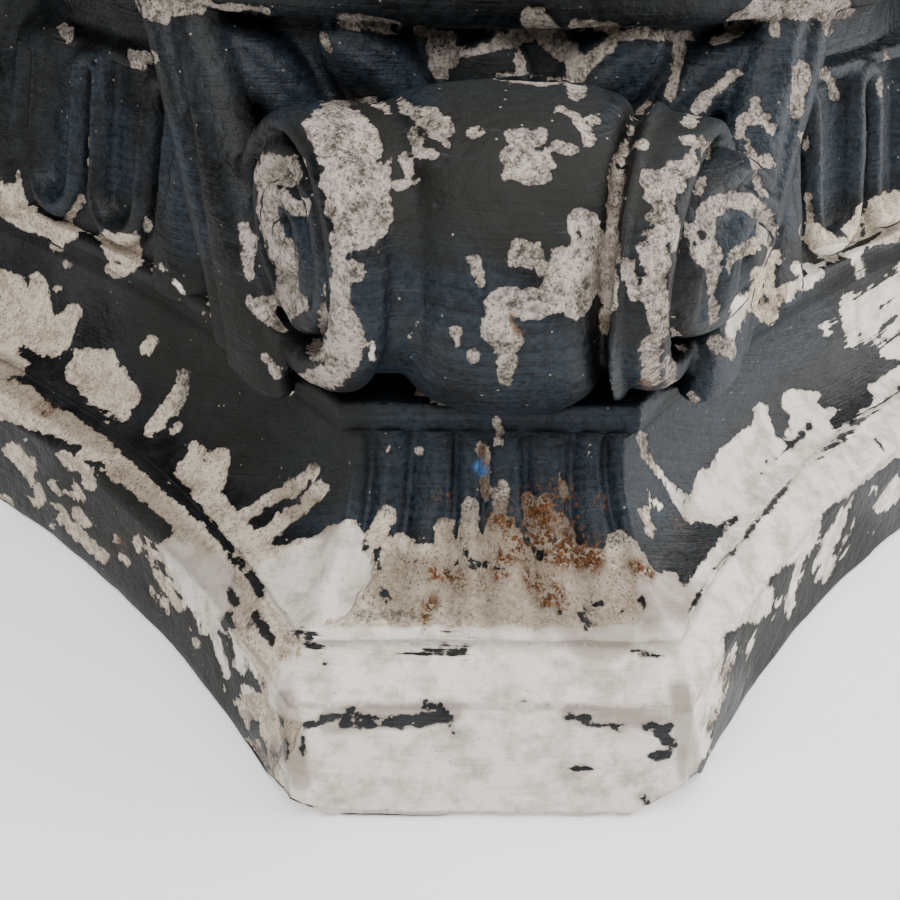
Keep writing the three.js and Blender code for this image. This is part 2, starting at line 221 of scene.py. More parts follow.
levels.append(slab_ring(*strip_edge, ledge_z - 0.4))
for inset in insets_under_carving:
    half = max(strip_half - inset / 3, 20)
    levels.append(slab_ring(strip_side + inset, strip_corner + inset, half, ledge_z))
slab = pulled("foot_slab", levels)


# Body. It is the plaster wall that stands on the slab: squarish where the tongues ring its
# foot, round at the neck, with a swelling neck ring and the flat drum that carries the shaft.
# Wall, rims and all the carving below were cast in one mould with the slab.
ring_reach = 166
ring_bulge = 4
ring_height = 17
neck_inset = 20
neck_height = 20
seat_inset = 8
seat_height = 14
seat_border = 5.4
tongue_zone = 54.5
tongue_edge_proud = 4
tongue_flare = 9
wall_depth = 3.5
edge_height = 4
foot_square = 3
top_square = 2.3
wall_in_slab = 3
neck_round = 1.5
neck_hollow = 3
ring_turn = 62
wall_columns = 144
tongue_top_z = ledge_z + tongue_zone
ring_foot_z = tongue_top_z + neck_height
ring_top_z = ring_foot_z + ring_height
seat_z = ring_top_z + seat_height
neck_reach = ring_reach - neck_inset


def wall_share(z):
    """How far up the wall a height is, from 0 at the ledge to 1 over the tongues."""
    return min(max((z - ledge_z) / tongue_zone, 0), 1)


def wall_square(z):
    """Power of the wall's outline: 2 is a circle, and more is squarer."""
    return foot_square + (top_square - foot_square) * wall_share(z)


def tongue_front(z):
    return neck_reach + tongue_edge_proud + tongue_flare * (1 - wall_share(z))


def wall_reach(angle, reach, square):
    powers = np.abs(np.cos(angle)) ** square + np.abs(np.sin(angle)) ** square
    return reach / powers ** (1 / square)


def wall_outline(reach, z, square):
    angle = np.linspace(0, 2 * math.pi, wall_columns + 1)[:-1]
    radius = wall_reach(angle, reach, square)
    heights = np.full_like(angle, z)
    return np.stack([radius * np.cos(angle), radius * np.sin(angle), heights], -1)


edge_foot = tongue_top_z - edge_height
outlines = [wall_outline(tongue_front(z) - wall_depth, z, wall_square(z))
            for z in np.linspace(ledge_z - wall_in_slab, edge_foot - 0.6, 6)]
for z in np.linspace(edge_foot, tongue_top_z - 0.5, 3):
    outlines.append(wall_outline(tongue_front(z), z, wall_square(z)))
outlines.append(wall_outline(tongue_front(tongue_top_z) - 1, tongue_top_z, top_square))
outlines.append(wall_outline(neck_reach, tongue_top_z + neck_round, 2.15))
outlines.append(wall_outline(neck_reach, tongue_top_z + neck_height * 0.6, 2))
outlines.append(wall_outline(neck_reach + neck_hollow, ring_foot_z - 2, 2))
outlines.append(wall_outline(ring_reach - 2, ring_foot_z - 0.3, 2))
for turn in np.radians(np.linspace(-ring_turn, ring_turn, 9)):
    z = ring_foot_z + ring_height * (0.5 + 0.5 * math.sin(turn) / math.sin(math.radians(ring_turn)))
    outlines.append(wall_outline(ring_reach + ring_bulge * (math.cos(turn) - 0.47) / 0.53, z, 2))
outlines.append(wall_outline(ring_reach - seat_inset, ring_top_z + 0.4, 2))
outlines.append(wall_outline(ring_reach - seat_inset, seat_z, 2))
body = pulled("body", outlines)


# Tongues. A raised, rounded rim runs on without a break: down beside a slot, round the foot
# of a tongue, up again and over the next slot. It was moulded on the wall in one with it.
tongue_pitch = 31
rim_half = 4
rim_height = 5.8
slot_half = 5
tongue_foot_gap = 5.5
arch_drop = 9
rim_turns = (-28, 208, 13)


def on_wall(across, z, height):
    """A point on the wall of the side that faces +X, raised from the wall by `height`."""
    square = wall_square(z)
    reach = tongue_front(z) - wall_depth + height
    return (reach ** square - abs(across) ** square) ** (1 / square), across, z


def tongue_route():
    """The middle line of the rim, over five slots and round the four tongues between them."""
    foot_z = ledge_z + tongue_foot_gap
    arch_z = tongue_top_z - arch_drop
    foot_half = tongue_pitch / 2 - slot_half
    slots = [index * tongue_pitch for index in range(-2, 3)]
    route = []
    for slot in slots:
        for turn in np.linspace(0, math.pi, 9):
            route.append((slot - slot_half * math.cos(turn), arch_z + slot_half * math.sin(turn)))
        if slot != slots[-1]:
            for turn in np.linspace(0, math.pi, 15):
                across = slot + tongue_pitch / 2 - foot_half * math.cos(turn)
                route.append((across, foot_z + foot_half * (1 - math.sin(turn))))
    return np.array(route)


def rim_outlines(route, place, half, height):
    """Rounded sections set square to a route over a surface."""
    headings = np.gradient(route, axis=0)
    outlines = []
    for (across, z), (run, rise) in zip(route, headings):
        length = math.hypot(run, rise)
        outline = []
        for turn in np.radians(np.linspace(*rim_turns)):
            wide = half * math.cos(turn)
            out = height * max(math.sin(turn), -0.6)
            outline.append(place(across - wide * rise / length, z + wide * run / length, out))
        outlines.append(outline)
    return outlines


rims = [pulled("tongue_rim", rim_outlines(tongue_route(), on_wall, rim_half, rim_height))]


def copies(pieces):
    """Every side or corner repeats the first one. Each copy has its own mesh."""
    made = []
    for piece in list(pieces):
        for side in range(1, 4):
            again = piece.copy()
            again.data = piece.data.copy()
            again.data.transform(Matrix.Rotation(side * quarter, 4, 'Z'))
            bpy.context.collection.objects.link(again)
            made.append(again)
    return made


rims += copies(rims)


# Corner scroll. A broad rounded band with a narrow roll, a sharp ridge and a second roll
# beside it, all curled under. Its cheeks are sunk behind a rim, with a spiral boss on each.
scroll_setback = 59
scroll_lift = 35.5
scroll_valley = 30
scroll_flare = 0.013
cheek_depth = 7
scroll_rolls = ((-28, 5.6, 3.5), (2.2, 17.4, 7.5), (28.4, 5.1, 2.8))
ridge_across = 23.1
ridge_rise = 5.4
ridge_half = 1.5
ridge_groove = 3.2
groove_across = 20.6
scroll_droop = 2.2
back_flattening = 0.16
rim_depth = 3.6
core_radius = 10
boss_radius = 21.5
boss_rim = 1.5
boss_proud = {-1: 1, 1: 9.5}
boss_groove = 3.2
boss_groove_half = 1.7
boss_turns = 1.6
scroll_u = corner_reach - scroll_setback
scroll_z = ledge_z + scroll_lift
left_end = scroll_rolls[0][0] - scroll_rolls[0][1]
right_end = scroll_rolls[-1][0] + scroll_rolls[-1][1]


def flared(u, v, z):
    """The cheeks of a scroll spread towards its back."""
    return u, v * (1 + scroll_flare * (scroll_u + scroll_valley + 3.5 - u)), z


def scroll_radius(across):
    """Radius of the scroll's face at one place between its cheeks.

    Each roll is its middle, half width and rise; the ridge stands between two of them.
    """
    rise = ridge_rise * math.exp(-((across - ridge_across) / ridge_half) ** 2)
    for middle, half, height in scroll_rolls:
        share = abs(across - middle) / half
        if share < 1:
            rise = max(rise, height * (1 - share ** 2.4) ** 0.62)
    rise -= ridge_groove * math.exp(-((across - groove_across) / ridge_half) ** 2)
    return scroll_valley + rise


def scroll_outlines():
    """Rings from the sunk left cheek over its rim, across the rolls and into the right cheek."""
    inner = scroll_valley - rim_depth
    rim = ((0, inner + 1), (1, inner), (cheek_depth - 1, inner), (cheek_depth, inner - 1),
           (cheek_depth, core_radius))
    left = [(left_end + sunk, radius) for sunk, radius in rim[::-1]]
    right = [(right_end - sunk, radius) for sunk, radius in rim]
    face = [(across, scroll_radius(across))
            for across in np.linspace(left_end + 0.2, right_end - 0.2, 84)]
    turns = np.linspace(0, 2 * math.pi, 97)[:-1]
    outlines = []
    for across, radius in left + face + right:
        droop = scroll_droop * max(radius - scroll_valley, 0) / 7
        at_rim = back_flattening * min(max((abs(across) - 18) / 12, 0), 1)
        outline = []
        for turn in turns:
            fuller = radius * (1 - at_rim * math.exp(-((2 * math.pi - turn - 2.2) / 0.75) ** 2))
            outline.append(flared(scroll_u + fuller * math.cos(turn), across,
                                  scroll_z - droop - fuller * math.sin(turn)))
        outlines.append(outline)
    return outlines


def boss_outlines(side):
    """A domed boss on the cheek, with a spiral line sunk into it as far as the eye."""
    cheek = (left_end if side < 0 else right_end) - side * cheek_depth
    foot = cheek_depth - boss_rim
    profile = [(boss_radius, -2), (boss_radius, foot)]
    for radius in np.linspace(boss_radius, 0.6, 34):
        dome = (1 - (radius / boss_radius) ** 3) ** 0.55
        profile.append((radius, foot + (boss_proud[side] + boss_rim) * dome))
    outlines = []
    for radius, out in profile:
        outline = []
        for turn in np.linspace(0, 2 * math.pi, 73)[:-1]:
            laps = [turn / 2 / math.pi + lap for lap in (0, 1)]
            away = min(abs(radius - (boss_radius - 4) * (1 - lap / (boss_turns + 0.5)))
                       for lap in laps if lap < boss_turns)
            sunk = boss_groove * math.exp(-(away / boss_groove_half) ** 2) * (out > cheek_depth)
            outline.append(flared(scroll_u + radius * math.cos(turn - 0.6),
                                  cheek + side * (out - sunk),
                                  scroll_z + radius * math.sin(turn - 0.6)))
        outlines.append(outline)
    return outlines


corner_pieces = [
    pulled("scroll", scroll_outlines()),
    pulled("left_boss", boss_outlines(-1)),
    pulled("right_boss", boss_outlines(1)),
]


# Leafwork around the scroll. Two stalks sweep down from the neck ring to the ledge, a pointed
# blade stands beside each, and a palmette of six lobes fans out behind the scroll. All is
# relief cast with the wall, its edges softened by many coats of paint.
stalk_back = 22
stalk_across = 58
stalk_top_proud = 13
stalk_top_turn = 28.5
stalk_foot_length = 27
stalk_top_length = 12
stalk_half = 8
blade_turn = 29
blade_height = 44
blade_foot = 13
blade_half = 6
fan_spread = 33
fan_foot_rise = 14
fan_proud = 13
fan_reach = 160
fan_back = 18
stalk_groove = 0.32
foot_in_slab = 4
lobe_lines = (-0.38, 0.38)
line_half = 0.13
line_depth = 0.16
lobe_back = 6
tip_lift = 2.5
# Each lobe: foot across and up from the ledge, tip across and up, half width, height.
lobes = (
    (0, 44, 0, 72, 11, 7),
    (10, 49, 42, 71, 10.5, 8),
    (36, 36, 68, 69, 11.5, 10),
    (56, 27, 68, 52, 7, 16),
)


def web_outline(u, v, z, turn, length, half, groove=0.0):
    """An upright leaf's oval section, with a groove down its outer face."""
    along = math.radians(turn)
    outline = []
    for angle in np.linspace(0, 2 * math.pi, 33)[:-1]:
        a, b = length * math.cos(angle), half * math.sin(angle)
        b *= 1 - groove * math.exp(-(a / 2.2) ** 2)
        outline.append((u + a * math.cos(along) - b * math.sin(along),
                        v + a * math.sin(along) + b * math.cos(along), z))
    return outline


def stalk_outlines(side):
    """From the ledge beside the scroll's back up to the neck ring, turning as it climbs."""
    top_turn = math.radians(stalk_top_turn)
    top_reach = neck_reach + stalk_top_proud
    foot = (scroll_u - stalk_back, stalk_across, ledge_z - foot_in_slab)
    top = (top_reach * math.cos(top_turn), top_reach * math.sin(top_turn), ring_foot_z + 2)
    outlines = []
    for share in np.linspace(0, 1, 22):
        sweep = share ** 1.3
        length = stalk_top_length + (stalk_foot_length - stalk_top_length) * (1 - share) ** 1.5
        outlines.append(web_outline(
            foot[0] + (top[0] - foot[0]) * sweep, side * (foot[1] + (top[1] - foot[1]) * sweep),
            foot[2] + (top[2] - foot[2]) * share, -side * (20 + 44 * share ** 1.5),
            length, stalk_half, stalk_groove))
    return outlines


def blade_outlines(side):
    """Against the wall, and narrower to its point."""
    turn = math.radians(blade_turn)
    outlines = []
    for share in np.linspace(0, 1, 14):
        z = ledge_z - foot_in_slab + (blade_height + foot_in_slab) * share
        reach = wall_reach(quarter / 2 - turn, tongue_front(z) - wall_depth, wall_square(z)) + 2
        outlines.append(web_outline(
            reach * math.cos(turn), side * reach * math.sin(turn), z, -side * 50,
            blade_foot * (1 - 0.9 * share ** 1.4), blade_half))
    return outlines


def fan_outlines():
    """The smooth ground of the palmette, which swells out of the neck behind the lobes."""
    outlines = []
    for share in np.linspace(0, 1, 9):
        turns = np.radians(np.linspace(-fan_spread, fan_spread, 31)) * (0.8 + 0.2 * share)
        reach = neck_reach + fan_proud * math.sin((0.25 + 0.65 * share) * math.pi) ** 0.5
        z = ledge_z + fan_foot_rise + (ring_foot_z - ledge_z - fan_foot_rise + 1) * share
        front = [(reach, turn) for turn in turns]
        behind = [(neck_reach - fan_back, turn) for turn in turns[::-1]]
        outlines.append([(out * math.cos(turn), out * math.sin(turn), z)
                         for out, turn in front + behind])
    return outlines


def lobe_outlines(side, lobe):
    """A lobe is full at its middle, has two sunk lines along it, and lifts at its tip."""
    foot_across, foot_rise, tip_across, tip_rise, half, height = lobe
    foot = np.array([side * foot_across, ledge_z + foot_rise])
    tip = np.array([side * tip_across, ledge_z + tip_rise])
    heading = (tip - foot) / np.linalg.norm(tip - foot)
    outlines = []
    for share in np.linspace(0.02, 0.99, 24):
        full = math.sin(math.pi * share ** 1.25) ** 0.65
        middle = foot + (tip - foot) * share
        outline = []
        for place in list(np.linspace(-1, 1, 21)) + [1, -1]:
            sunk = sum(math.exp(-((place - line) / line_half) ** 2) for line in lobe_lines)
            out = height * full ** 0.5 * max(0, 1 - place ** 2) ** 0.55
            out *= 1 - line_depth * sunk * full
            if len(outline) > 20:
                out = -lobe_back
            out += tip_lift * share ** 3
            spot = middle + np.array([-heading[1], heading[0]]) * place * half * full
            turn = spot[0] / fan_reach
            reach = neck_reach + fan_proud - 3 + out
            outline.append((reach * math.cos(turn), reach * math.sin(turn), spot[1]))
        outlines.append(outline)
    return outlines


for side in (-1, 1):
    corner_pieces.append(pulled("stalk", stalk_outlines(side)))
    corner_pieces.append(pulled("blade", blade_outlines(side)))
    for lobe in lobes[1:]:
        corner_pieces.append(pulled("lobe", lobe_outlines(side, lobe)))
corner_pieces.append(pulled("middle_lobe", lobe_outlines(1, lobes[0])))
corner_pieces.append(pulled("palmette_ground", fan_outlines()))
for piece in corner_pieces:
    piece.data.transform(Matrix.Rotation(-quarter / 2, 4, 'Z'))
corner_pieces += copies(corner_pieces)


# The casting. Wall, rims, scrolls and leaves are one body of plaster, so their shapes are
# melted into one skin, rubbed soft as years of paint leave it, and thinned where it is flat.
skin_grain = 1.25
skin_triangles = 192000
fine_strength = 0.000004
back_edge = 20
back_fade = 100


def picked(*pieces):
    """Selects these pieces alone, with the first as the one that is worked on."""
    bpy.ops.object.select_all(action='DESELECT')
    for piece in pieces:
        piece.select_set(True)
    bpy.context.view_layer.objects.active = pieces[0]


def finished(piece, kind, **settings):
    """A modifier is put on a piece and applied at once."""
    picked(piece)
    modifier = piece.modifiers.new(kind.lower(), kind)
    for name, value in settings.items():
        setattr(modifier, name, value)
    bpy.ops.object.modifier_apply(modifier=modifier.name)


picked(body, *rims, *corner_pieces)
bpy.ops.object.join()
carving = bpy.context.object
carving.name = carving.data.name = "carved_body"
carving.data.remesh_voxel_size = skin_grain * mm
carving.data.remesh_voxel_adaptivity = 0
bpy.ops.object.voxel_remesh()
finished(carving, 'SMOOTH', factor=0.5, iterations=4)


def places(piece):
    """The points of a mesh, in millimetres."""
    flat = np.empty(len(piece.data.vertices) * 3, np.float32)
    piece.data.vertices.foreach_get('co', flat)
    return flat.reshape(-1, 3) / mm


def facings(piece):
    """The normals of a mesh at its points."""
    flat = np.empty(len(piece.data.vertices) * 3, np.float32)
    piece.data.vertex_normals.foreach_get('vector', flat)
    return flat.reshape(-1, 3)


def put(piece, points):
    """Moves the points of a mesh to these places in millimetres."""
    piece.data.vertices.foreach_set('co', (points * mm).astype(np.float32).ravel())
    piece.data.update()


def thinned(piece, triangles):
    """Triangles go first from the hidden core and the three corners at the back."""
    points = places(piece)
    front = (points[:, 0] - points[:, 1]) / math.sqrt(2)
    keep = np.clip((front - back_edge) / back_fade, 0, 1)
    group = piece.vertex_groups.new(name="keep_fine")
    for step in range(1, 5):
        chosen = np.nonzero((keep > (step - 1) / 4) & (keep <= step / 4))[0]
        group.add(chosen.tolist(), step / 4, 'REPLACE')
    piece.data.calc_loop_triangles()
    ratio = triangles / len(piece.data.loop_triangles)
    if ratio < 1:
        finished(piece, 'DECIMATE', ratio=ratio, vertex_group="keep_fine",
                 invert_vertex_group=True, vertex_group_factor=fine_strength,
                 use_collapse_triangulate=True)
    piece.vertex_groups.clear()


thinned(carving, skin_triangles)


# Paint and its losses. Many coats of charcoal oil paint, blue where it is thin and brown
# where dust lies, have flaked to the plaster: pitted grey above, tan in the hollow and white
# where the corner was scraped. The losses stand where the photograph shows them; each is a
# stroke in the picture (from x, y to x, y, half width), found on the skin from the lens.
eye = Vector((0.3459, -0.3728, 0.24301))
look_rise = 0.523800794
look_turn = quarter / 2 - 0.0330019305
look_roll = -0.0275249431
focal_length = 58.892
film_width = 36
picture_width = 900
picture_margin = 30
paint_thickness = 0.45

back = Vector((math.sin(look_turn) * math.cos(look_rise),
               -math.cos(look_turn) * math.cos(look_rise), math.sin(look_rise)))
level_right = Vector((math.cos(look_turn), math.sin(look_turn), 0))
level_up = back.cross(level_right)
eye_right = level_right * math.cos(look_roll) - level_up * math.sin(look_roll)
eye_up = level_right * math.sin(look_roll) + level_up * math.cos(look_roll)

# Where the paint is gone, form by form, and then the islands of paint left inside.
losses_on_ring = (
    (140, 4, 205, 3, 6), (150, 11, 163, 16, 8), (165, 8, 200, 6, 7), (210, 4, 232, 8, 2),
    (232, 8, 268, 10, 2), (66, 26, 66, 38, 6), (131, 54, 152, 58, 4), (136, 62, 140, 68, 4),
    (22, 40, 26, 42, 4), (345, 20, 395, 28, 6), (341, 17, 352, 19, 4), (420, 30, 450, 38, 4.5),
    (437, 46, 447, 58, 11), (436, 66, 441, 74, 7), (322, 38, 330, 50, 2.5), (465, 53, 500, 44, 4),
    (500, 42, 530, 35, 8), (534, 20, 556, 42, 13), (560, 45, 576, 62, 11), (575, 62, 577, 90, 8),
    (519, 60, 523, 74, 5), (500, 77, 556, 80, 3.5), (575, 24, 616, 29, 5), (583, 66, 610, 42, 7),
    (610, 36, 650, 33, 5), (650, 33, 672, 37, 5), (672, 37, 690, 36, 4), (680, 42, 678, 62, 6),
    (677, 62, 671, 95, 5), (736, 72, 708, 96, 4.5), (705, 98, 689, 121, 6.5),
    (757, 102, 757, 118, 6), (746, 117, 738, 134, 6), (766, 118, 772, 130, 4),
    (757, 163, 768, 161, 6), (747, 143, 752, 156, 3), (757, 178, 762, 195, 3),
    (735, 25, 760, 12, 8), (760, 10, 842, 8, 10), (775, 26, 776, 34, 3), (825, 18, 828, 32, 4),
    (715, 40, 738, 33, 4), (802, 68, 803, 78, 7), (800, 84, 797, 110, 5.5), (834, 88, 836, 98, 4),
    (886, 50, 891, 96, 2), (881, 84, 882, 94, 3), (804, 135, 807, 150, 3), (824, 72, 833, 84, 4),
)
losses_on_scroll = (
    (325, 113, 340, 112, 10), (322, 128, 352, 126, 16), (337, 150, 360, 146, 22),
    (343, 178, 366, 180, 22), (349, 208, 368, 205, 22), (352, 228, 374, 222, 18),
    (386, 178, 391, 158, 2), (341, 240, 344, 276, 10), (350, 244, 372, 240, 6),
    (356, 267, 359, 271, 7), (337, 290, 338, 330, 13), (336, 318, 348, 338, 17),
    (318, 350, 350, 350, 10), (344, 365, 352, 358, 9), (307, 383, 338, 374, 11),
    (270, 168, 290, 170, 14), (264, 178, 268, 206, 9), (276, 198, 302, 208, 8),
    (268, 212, 276, 250, 9), (284, 250, 286, 290, 10), (266, 310, 292, 304, 13),
    (274, 318, 282, 324, 8), (245, 226, 249, 276, 4), (251, 240, 248, 262, 4),
    (248, 298, 250, 306, 2), (265, 356, 277, 373, 4.5), (373, 101, 387, 109, 3),
    (402, 104, 446, 143, 4), (425, 111, 447, 119, 4), (434, 124, 447, 130, 5),
    (412, 133, 420, 150, 4), (418, 152, 434, 153, 4), (403, 159, 408, 168, 6),
    (397, 185, 420, 180, 5), (408, 172, 420, 180, 5), (472, 132, 479, 131, 3.5),
    (517, 138, 538, 137, 9), (511, 158, 541, 160, 11), (510, 172, 543, 176, 8),
    (552, 147, 574, 151, 4), (522, 254, 531, 256, 13), (538, 265, 543, 270, 5),
    (468, 258, 477, 258, 3.5), (474, 262, 482, 284, 5), (374, 344, 371, 358, 3),
    (415, 324, 410, 336, 1.5), (455, 332, 458, 346, 4), (472, 355, 472, 356, 6),
    (584, 225, 590, 250, 16), (570, 266, 586, 276, 20), (556, 292, 574, 302, 16),
    (528, 305, 560, 300, 15), (498, 303, 510, 300, 13), (495, 325, 510, 340, 13),
    (503, 350, 506, 364, 8), (503, 372, 505, 380, 6), (631, 128, 621, 160, 4),
    (619, 160, 611, 230, 6), (611, 235, 609, 300, 7.5), (607, 300, 605, 328, 4),
    (560, 107, 578, 113, 3), (577, 115, 590, 140, 5), (582, 120, 596, 118, 3),
    (652, 182, 673, 184, 12), (648, 196, 662, 200, 6), (664, 200, 668, 232, 9),
    (652, 218, 662, 216, 6), (652, 243, 658, 262, 13), (652, 270, 656, 300, 12),
    (628, 268, 634, 292, 8), (654, 305, 660, 325, 9), (660, 325, 663, 332, 4),
    (650, 348, 652, 378, 10), (669, 362, 673, 382, 4.5), (668, 392, 672, 398, 4),
    (636, 118, 650, 103, 2.5), (684, 141, 702, 142, 4), (705, 145, 706, 156, 3.5),
    (672, 163, 692, 156, 6), (680, 173, 689, 165, 7), (640, 146, 646, 144, 3),
    (694, 394, 695, 400, 2.5),
)
losses_on_cheek = (
    (704, 238, 702, 212, 8), (706, 210, 730, 198, 8), (730, 198, 752, 202, 8),
    (752, 204, 768, 220, 8), (770, 224, 776, 232, 4.5), (705, 226, 706, 256, 10),
    (714, 250, 713, 290, 6), (713, 290, 713, 318, 4), (738, 254, 752, 246, 6),
    (756, 246, 763, 238, 4), (762, 225, 766, 240, 5), (733, 258, 730, 272, 2),
    (680, 222, 676, 250, 4), (701, 181, 697, 191, 3), (668, 316, 676, 318, 2.5),
    (670, 330, 684, 346, 3), (741, 304, 733, 330, 8), (717, 342, 730, 350, 8),
    (690, 230, 694, 250, 3),
)
losses_on_ledge = (
    (0, 200, 33, 221, 13), (0, 190, 10, 190, 9), (35, 222, 66, 232, 10), (55, 235, 58, 246, 6),
    (66, 222, 81, 198, 3.5), (12, 184, 16, 174, 3.5), (105, 238, 135, 240, 6),
    (118, 250, 130, 256, 12), (112, 270, 126, 270, 7), (147, 220, 147, 229, 2.5),
    (158, 267, 163, 270, 3), (175, 282, 182, 291, 2.5), (66, 264, 67, 265, 4),
    (57, 288, 58, 290, 3), (775, 254, 768, 275, 6), (760, 275, 757, 292, 7),
    (752, 300, 770, 317, 8), (775, 300, 768, 286, 6), (797, 267, 820, 274, 6),
    (786, 291, 812, 279, 6), (808, 198, 810, 225, 4), (812, 232, 830, 250, 12),
    (830, 246, 858, 250, 9), (850, 228, 862, 238, 7), (857, 254, 861, 272, 6),
    (866, 216, 895, 202, 12), (870, 232, 890, 232, 12), (880, 212, 910, 214, 14),
    (788, 300, 794, 296, 3),
)
losses_in_hollow = (
    (-10, 285, 10, 290, 17), (-10, 312, 30, 310, 22), (37, 279, 42, 288, 6),
    (-10, 335, 48, 335, 22), (73, 311, 64, 330, 8), (-10, 358, 14, 360, 18),
    (85, 361, 105, 362, 13), (80, 376, 112, 380, 16), (96, 394, 125, 395, 14),
    (100, 410, 103, 421, 5), (118, 402, 124, 416, 6), (132, 388, 133, 393, 5),
    (182, 375, 178, 396, 7), (175, 400, 149, 432, 6), (172, 430, 180, 424, 3.5),
    (146, 348, 152, 341, 6), (146, 352, 145, 353, 3), (204, 312, 205, 314, 2.5),
    (195, 448, 192, 460, 7), (219, 458, 216, 476, 10), (190, 470, 210, 482, 14),
    (172, 478, 180, 486, 5), (205, 496, 236, 530, 14), (236, 530, 264, 560, 14),
    (245, 516, 300, 482, 6.5), (300, 482, 314, 470, 6), (262, 538, 322, 488, 7),
    (250, 558, 325, 550, 14), (275, 575, 345, 540, 18), (288, 595, 350, 570, 20),
    (296, 615, 340, 597, 14), (348, 530, 352, 560, 10), (848, 300, 856, 345, 8),
    (870, 302, 905, 275, 12), (868, 322, 905, 310, 15), (878, 342, 905, 345, 14),
    (795, 402, 815, 405, 13), (800, 420, 822, 420, 10), (760, 410, 765, 426, 7),
    (728, 462, 762, 436, 14), (705, 476, 702, 506, 8), (715, 500, 800, 455, 25),
    (800, 450, 882, 400, 20), (884, 398, 908, 380, 18), (826, 326, 828, 330, 5),
    (642, 436, 645, 455, 4.5), (645, 455, 670, 485, 4), (670, 485, 694, 518, 5),
    (648, 493, 660, 506, 2.5),
)
losses_on_band = (
    (-10, 398, 25, 406, 20), (30, 414, 62, 424, 14), (62, 422, 86, 440, 12),
    (86, 440, 118, 468, 13), (118, 468, 160, 505, 13), (160, 505, 215, 552, 13),
    (170, 553, 222, 570, 14), (182, 575, 222, 590, 15), (195, 596, 215, 606, 13),
    (205, 610, 208, 628, 8), (156, 572, 178, 606, 4), (232, 585, 262, 640, 14),
    (250, 640, 275, 672, 18), (262, 600, 292, 650, 12), (275, 670, 300, 695, 18),
    (34, 369, 35, 370, 3.5), (120, 433, 124, 434, 3.5), (300, 660, 690, 660, 36),
    (290, 690, 690, 690, 30), (680, 640, 790, 500, 30), (700, 600, 800, 530, 22),
    (790, 500, 905, 415, 30), (700, 630, 760, 600, 16),
)
losses_on_leaf = (
    (375, 542, 387, 514, 9), (370, 562, 400, 547, 14), (400, 562, 430, 560, 16),
    (444, 527, 446, 560, 10), (470, 506, 468, 540, 9), (460, 550, 500, 550, 14),
    (501, 487, 498, 515, 6), (500, 532, 520, 560, 15), (520, 578, 600, 582, 20),
    (430, 592, 560, 602, 26), (620, 546, 640, 572, 14), (644, 512, 652, 532, 5),
    (630, 590, 662, 600, 28), (370, 585, 440, 600, 22), (560, 556, 600, 560, 12),
    (528, 500, 540, 540, 8), (560, 474, 564, 494, 3), (545, 500, 548, 540, 6),
    (320, 610, 660, 632, 20), (560, 520, 570, 545, 9), (482, 446, 486, 464, 4.5),
    (485, 470, 486, 500, 4), (497, 420, 500, 430, 4), (495, 440, 502, 442, 4),
    (387, 447, 387, 454, 2.5), (590, 445, 589, 456, 2), (419, 450, 420, 452, 2.5),
)
losses_on_side = (
    (12, 450, 28, 470, 8), (62, 455, 72, 465, 6), (82, 465, 90, 485, 6), (34, 482, 43, 498, 2.5),
    (50, 482, 57, 496, 3), (30, 498, 38, 505, 2.5), (70, 492, 72, 496, 2.5), (57, 505, 62, 510, 3),
    (75, 512, 85, 523, 5.5), (82, 500, 84, 503, 2.5), (62, 518, 80, 538, 4.5),
    (84, 540, 104, 558, 5.5), (136, 538, 142, 552, 3.5), (122, 556, 126, 562, 3),
    (165, 600, 167, 612, 4), (195, 640, 197, 644, 3), (216, 640, 226, 675, 4.5),
    (238, 658, 244, 672, 4), (229, 634, 231, 637, 3.5), (246, 690, 252, 715, 5),
    (258, 700, 266, 735, 6), (270, 720, 282, 790, 8), (-10, 495, 8, 503, 5),
    (238, 700, 246, 720, 3), (845, 510, 838, 530, 4), (835, 532, 824, 558, 5.5),
    (832, 556, 826, 578, 4), (803, 555, 790, 605, 4), (898, 485, 882, 506, 7),
    (877, 484, 872, 495, 2), (845, 539, 846, 541, 3), (871, 533, 872, 534, 2.5),
    (819, 582, 820, 584, 2), (760, 602, 765, 614, 3), (790, 606, 788, 616, 3),
    (722, 690, 712, 720, 3), (735, 650, 728, 672, 3), (700, 735, 690, 770, 8),
    (752, 640, 748, 652, 2.5), (250, 745, 262, 765, 5),
)
losses_on_corner = (
    (320, 745, 690, 745, 22), (310, 780, 670, 785, 30), (300, 730, 690, 715, 18),
    (330, 810, 640, 815, 16), (296, 700, 300, 790, 9), (684, 700, 680, 780, 9),
)
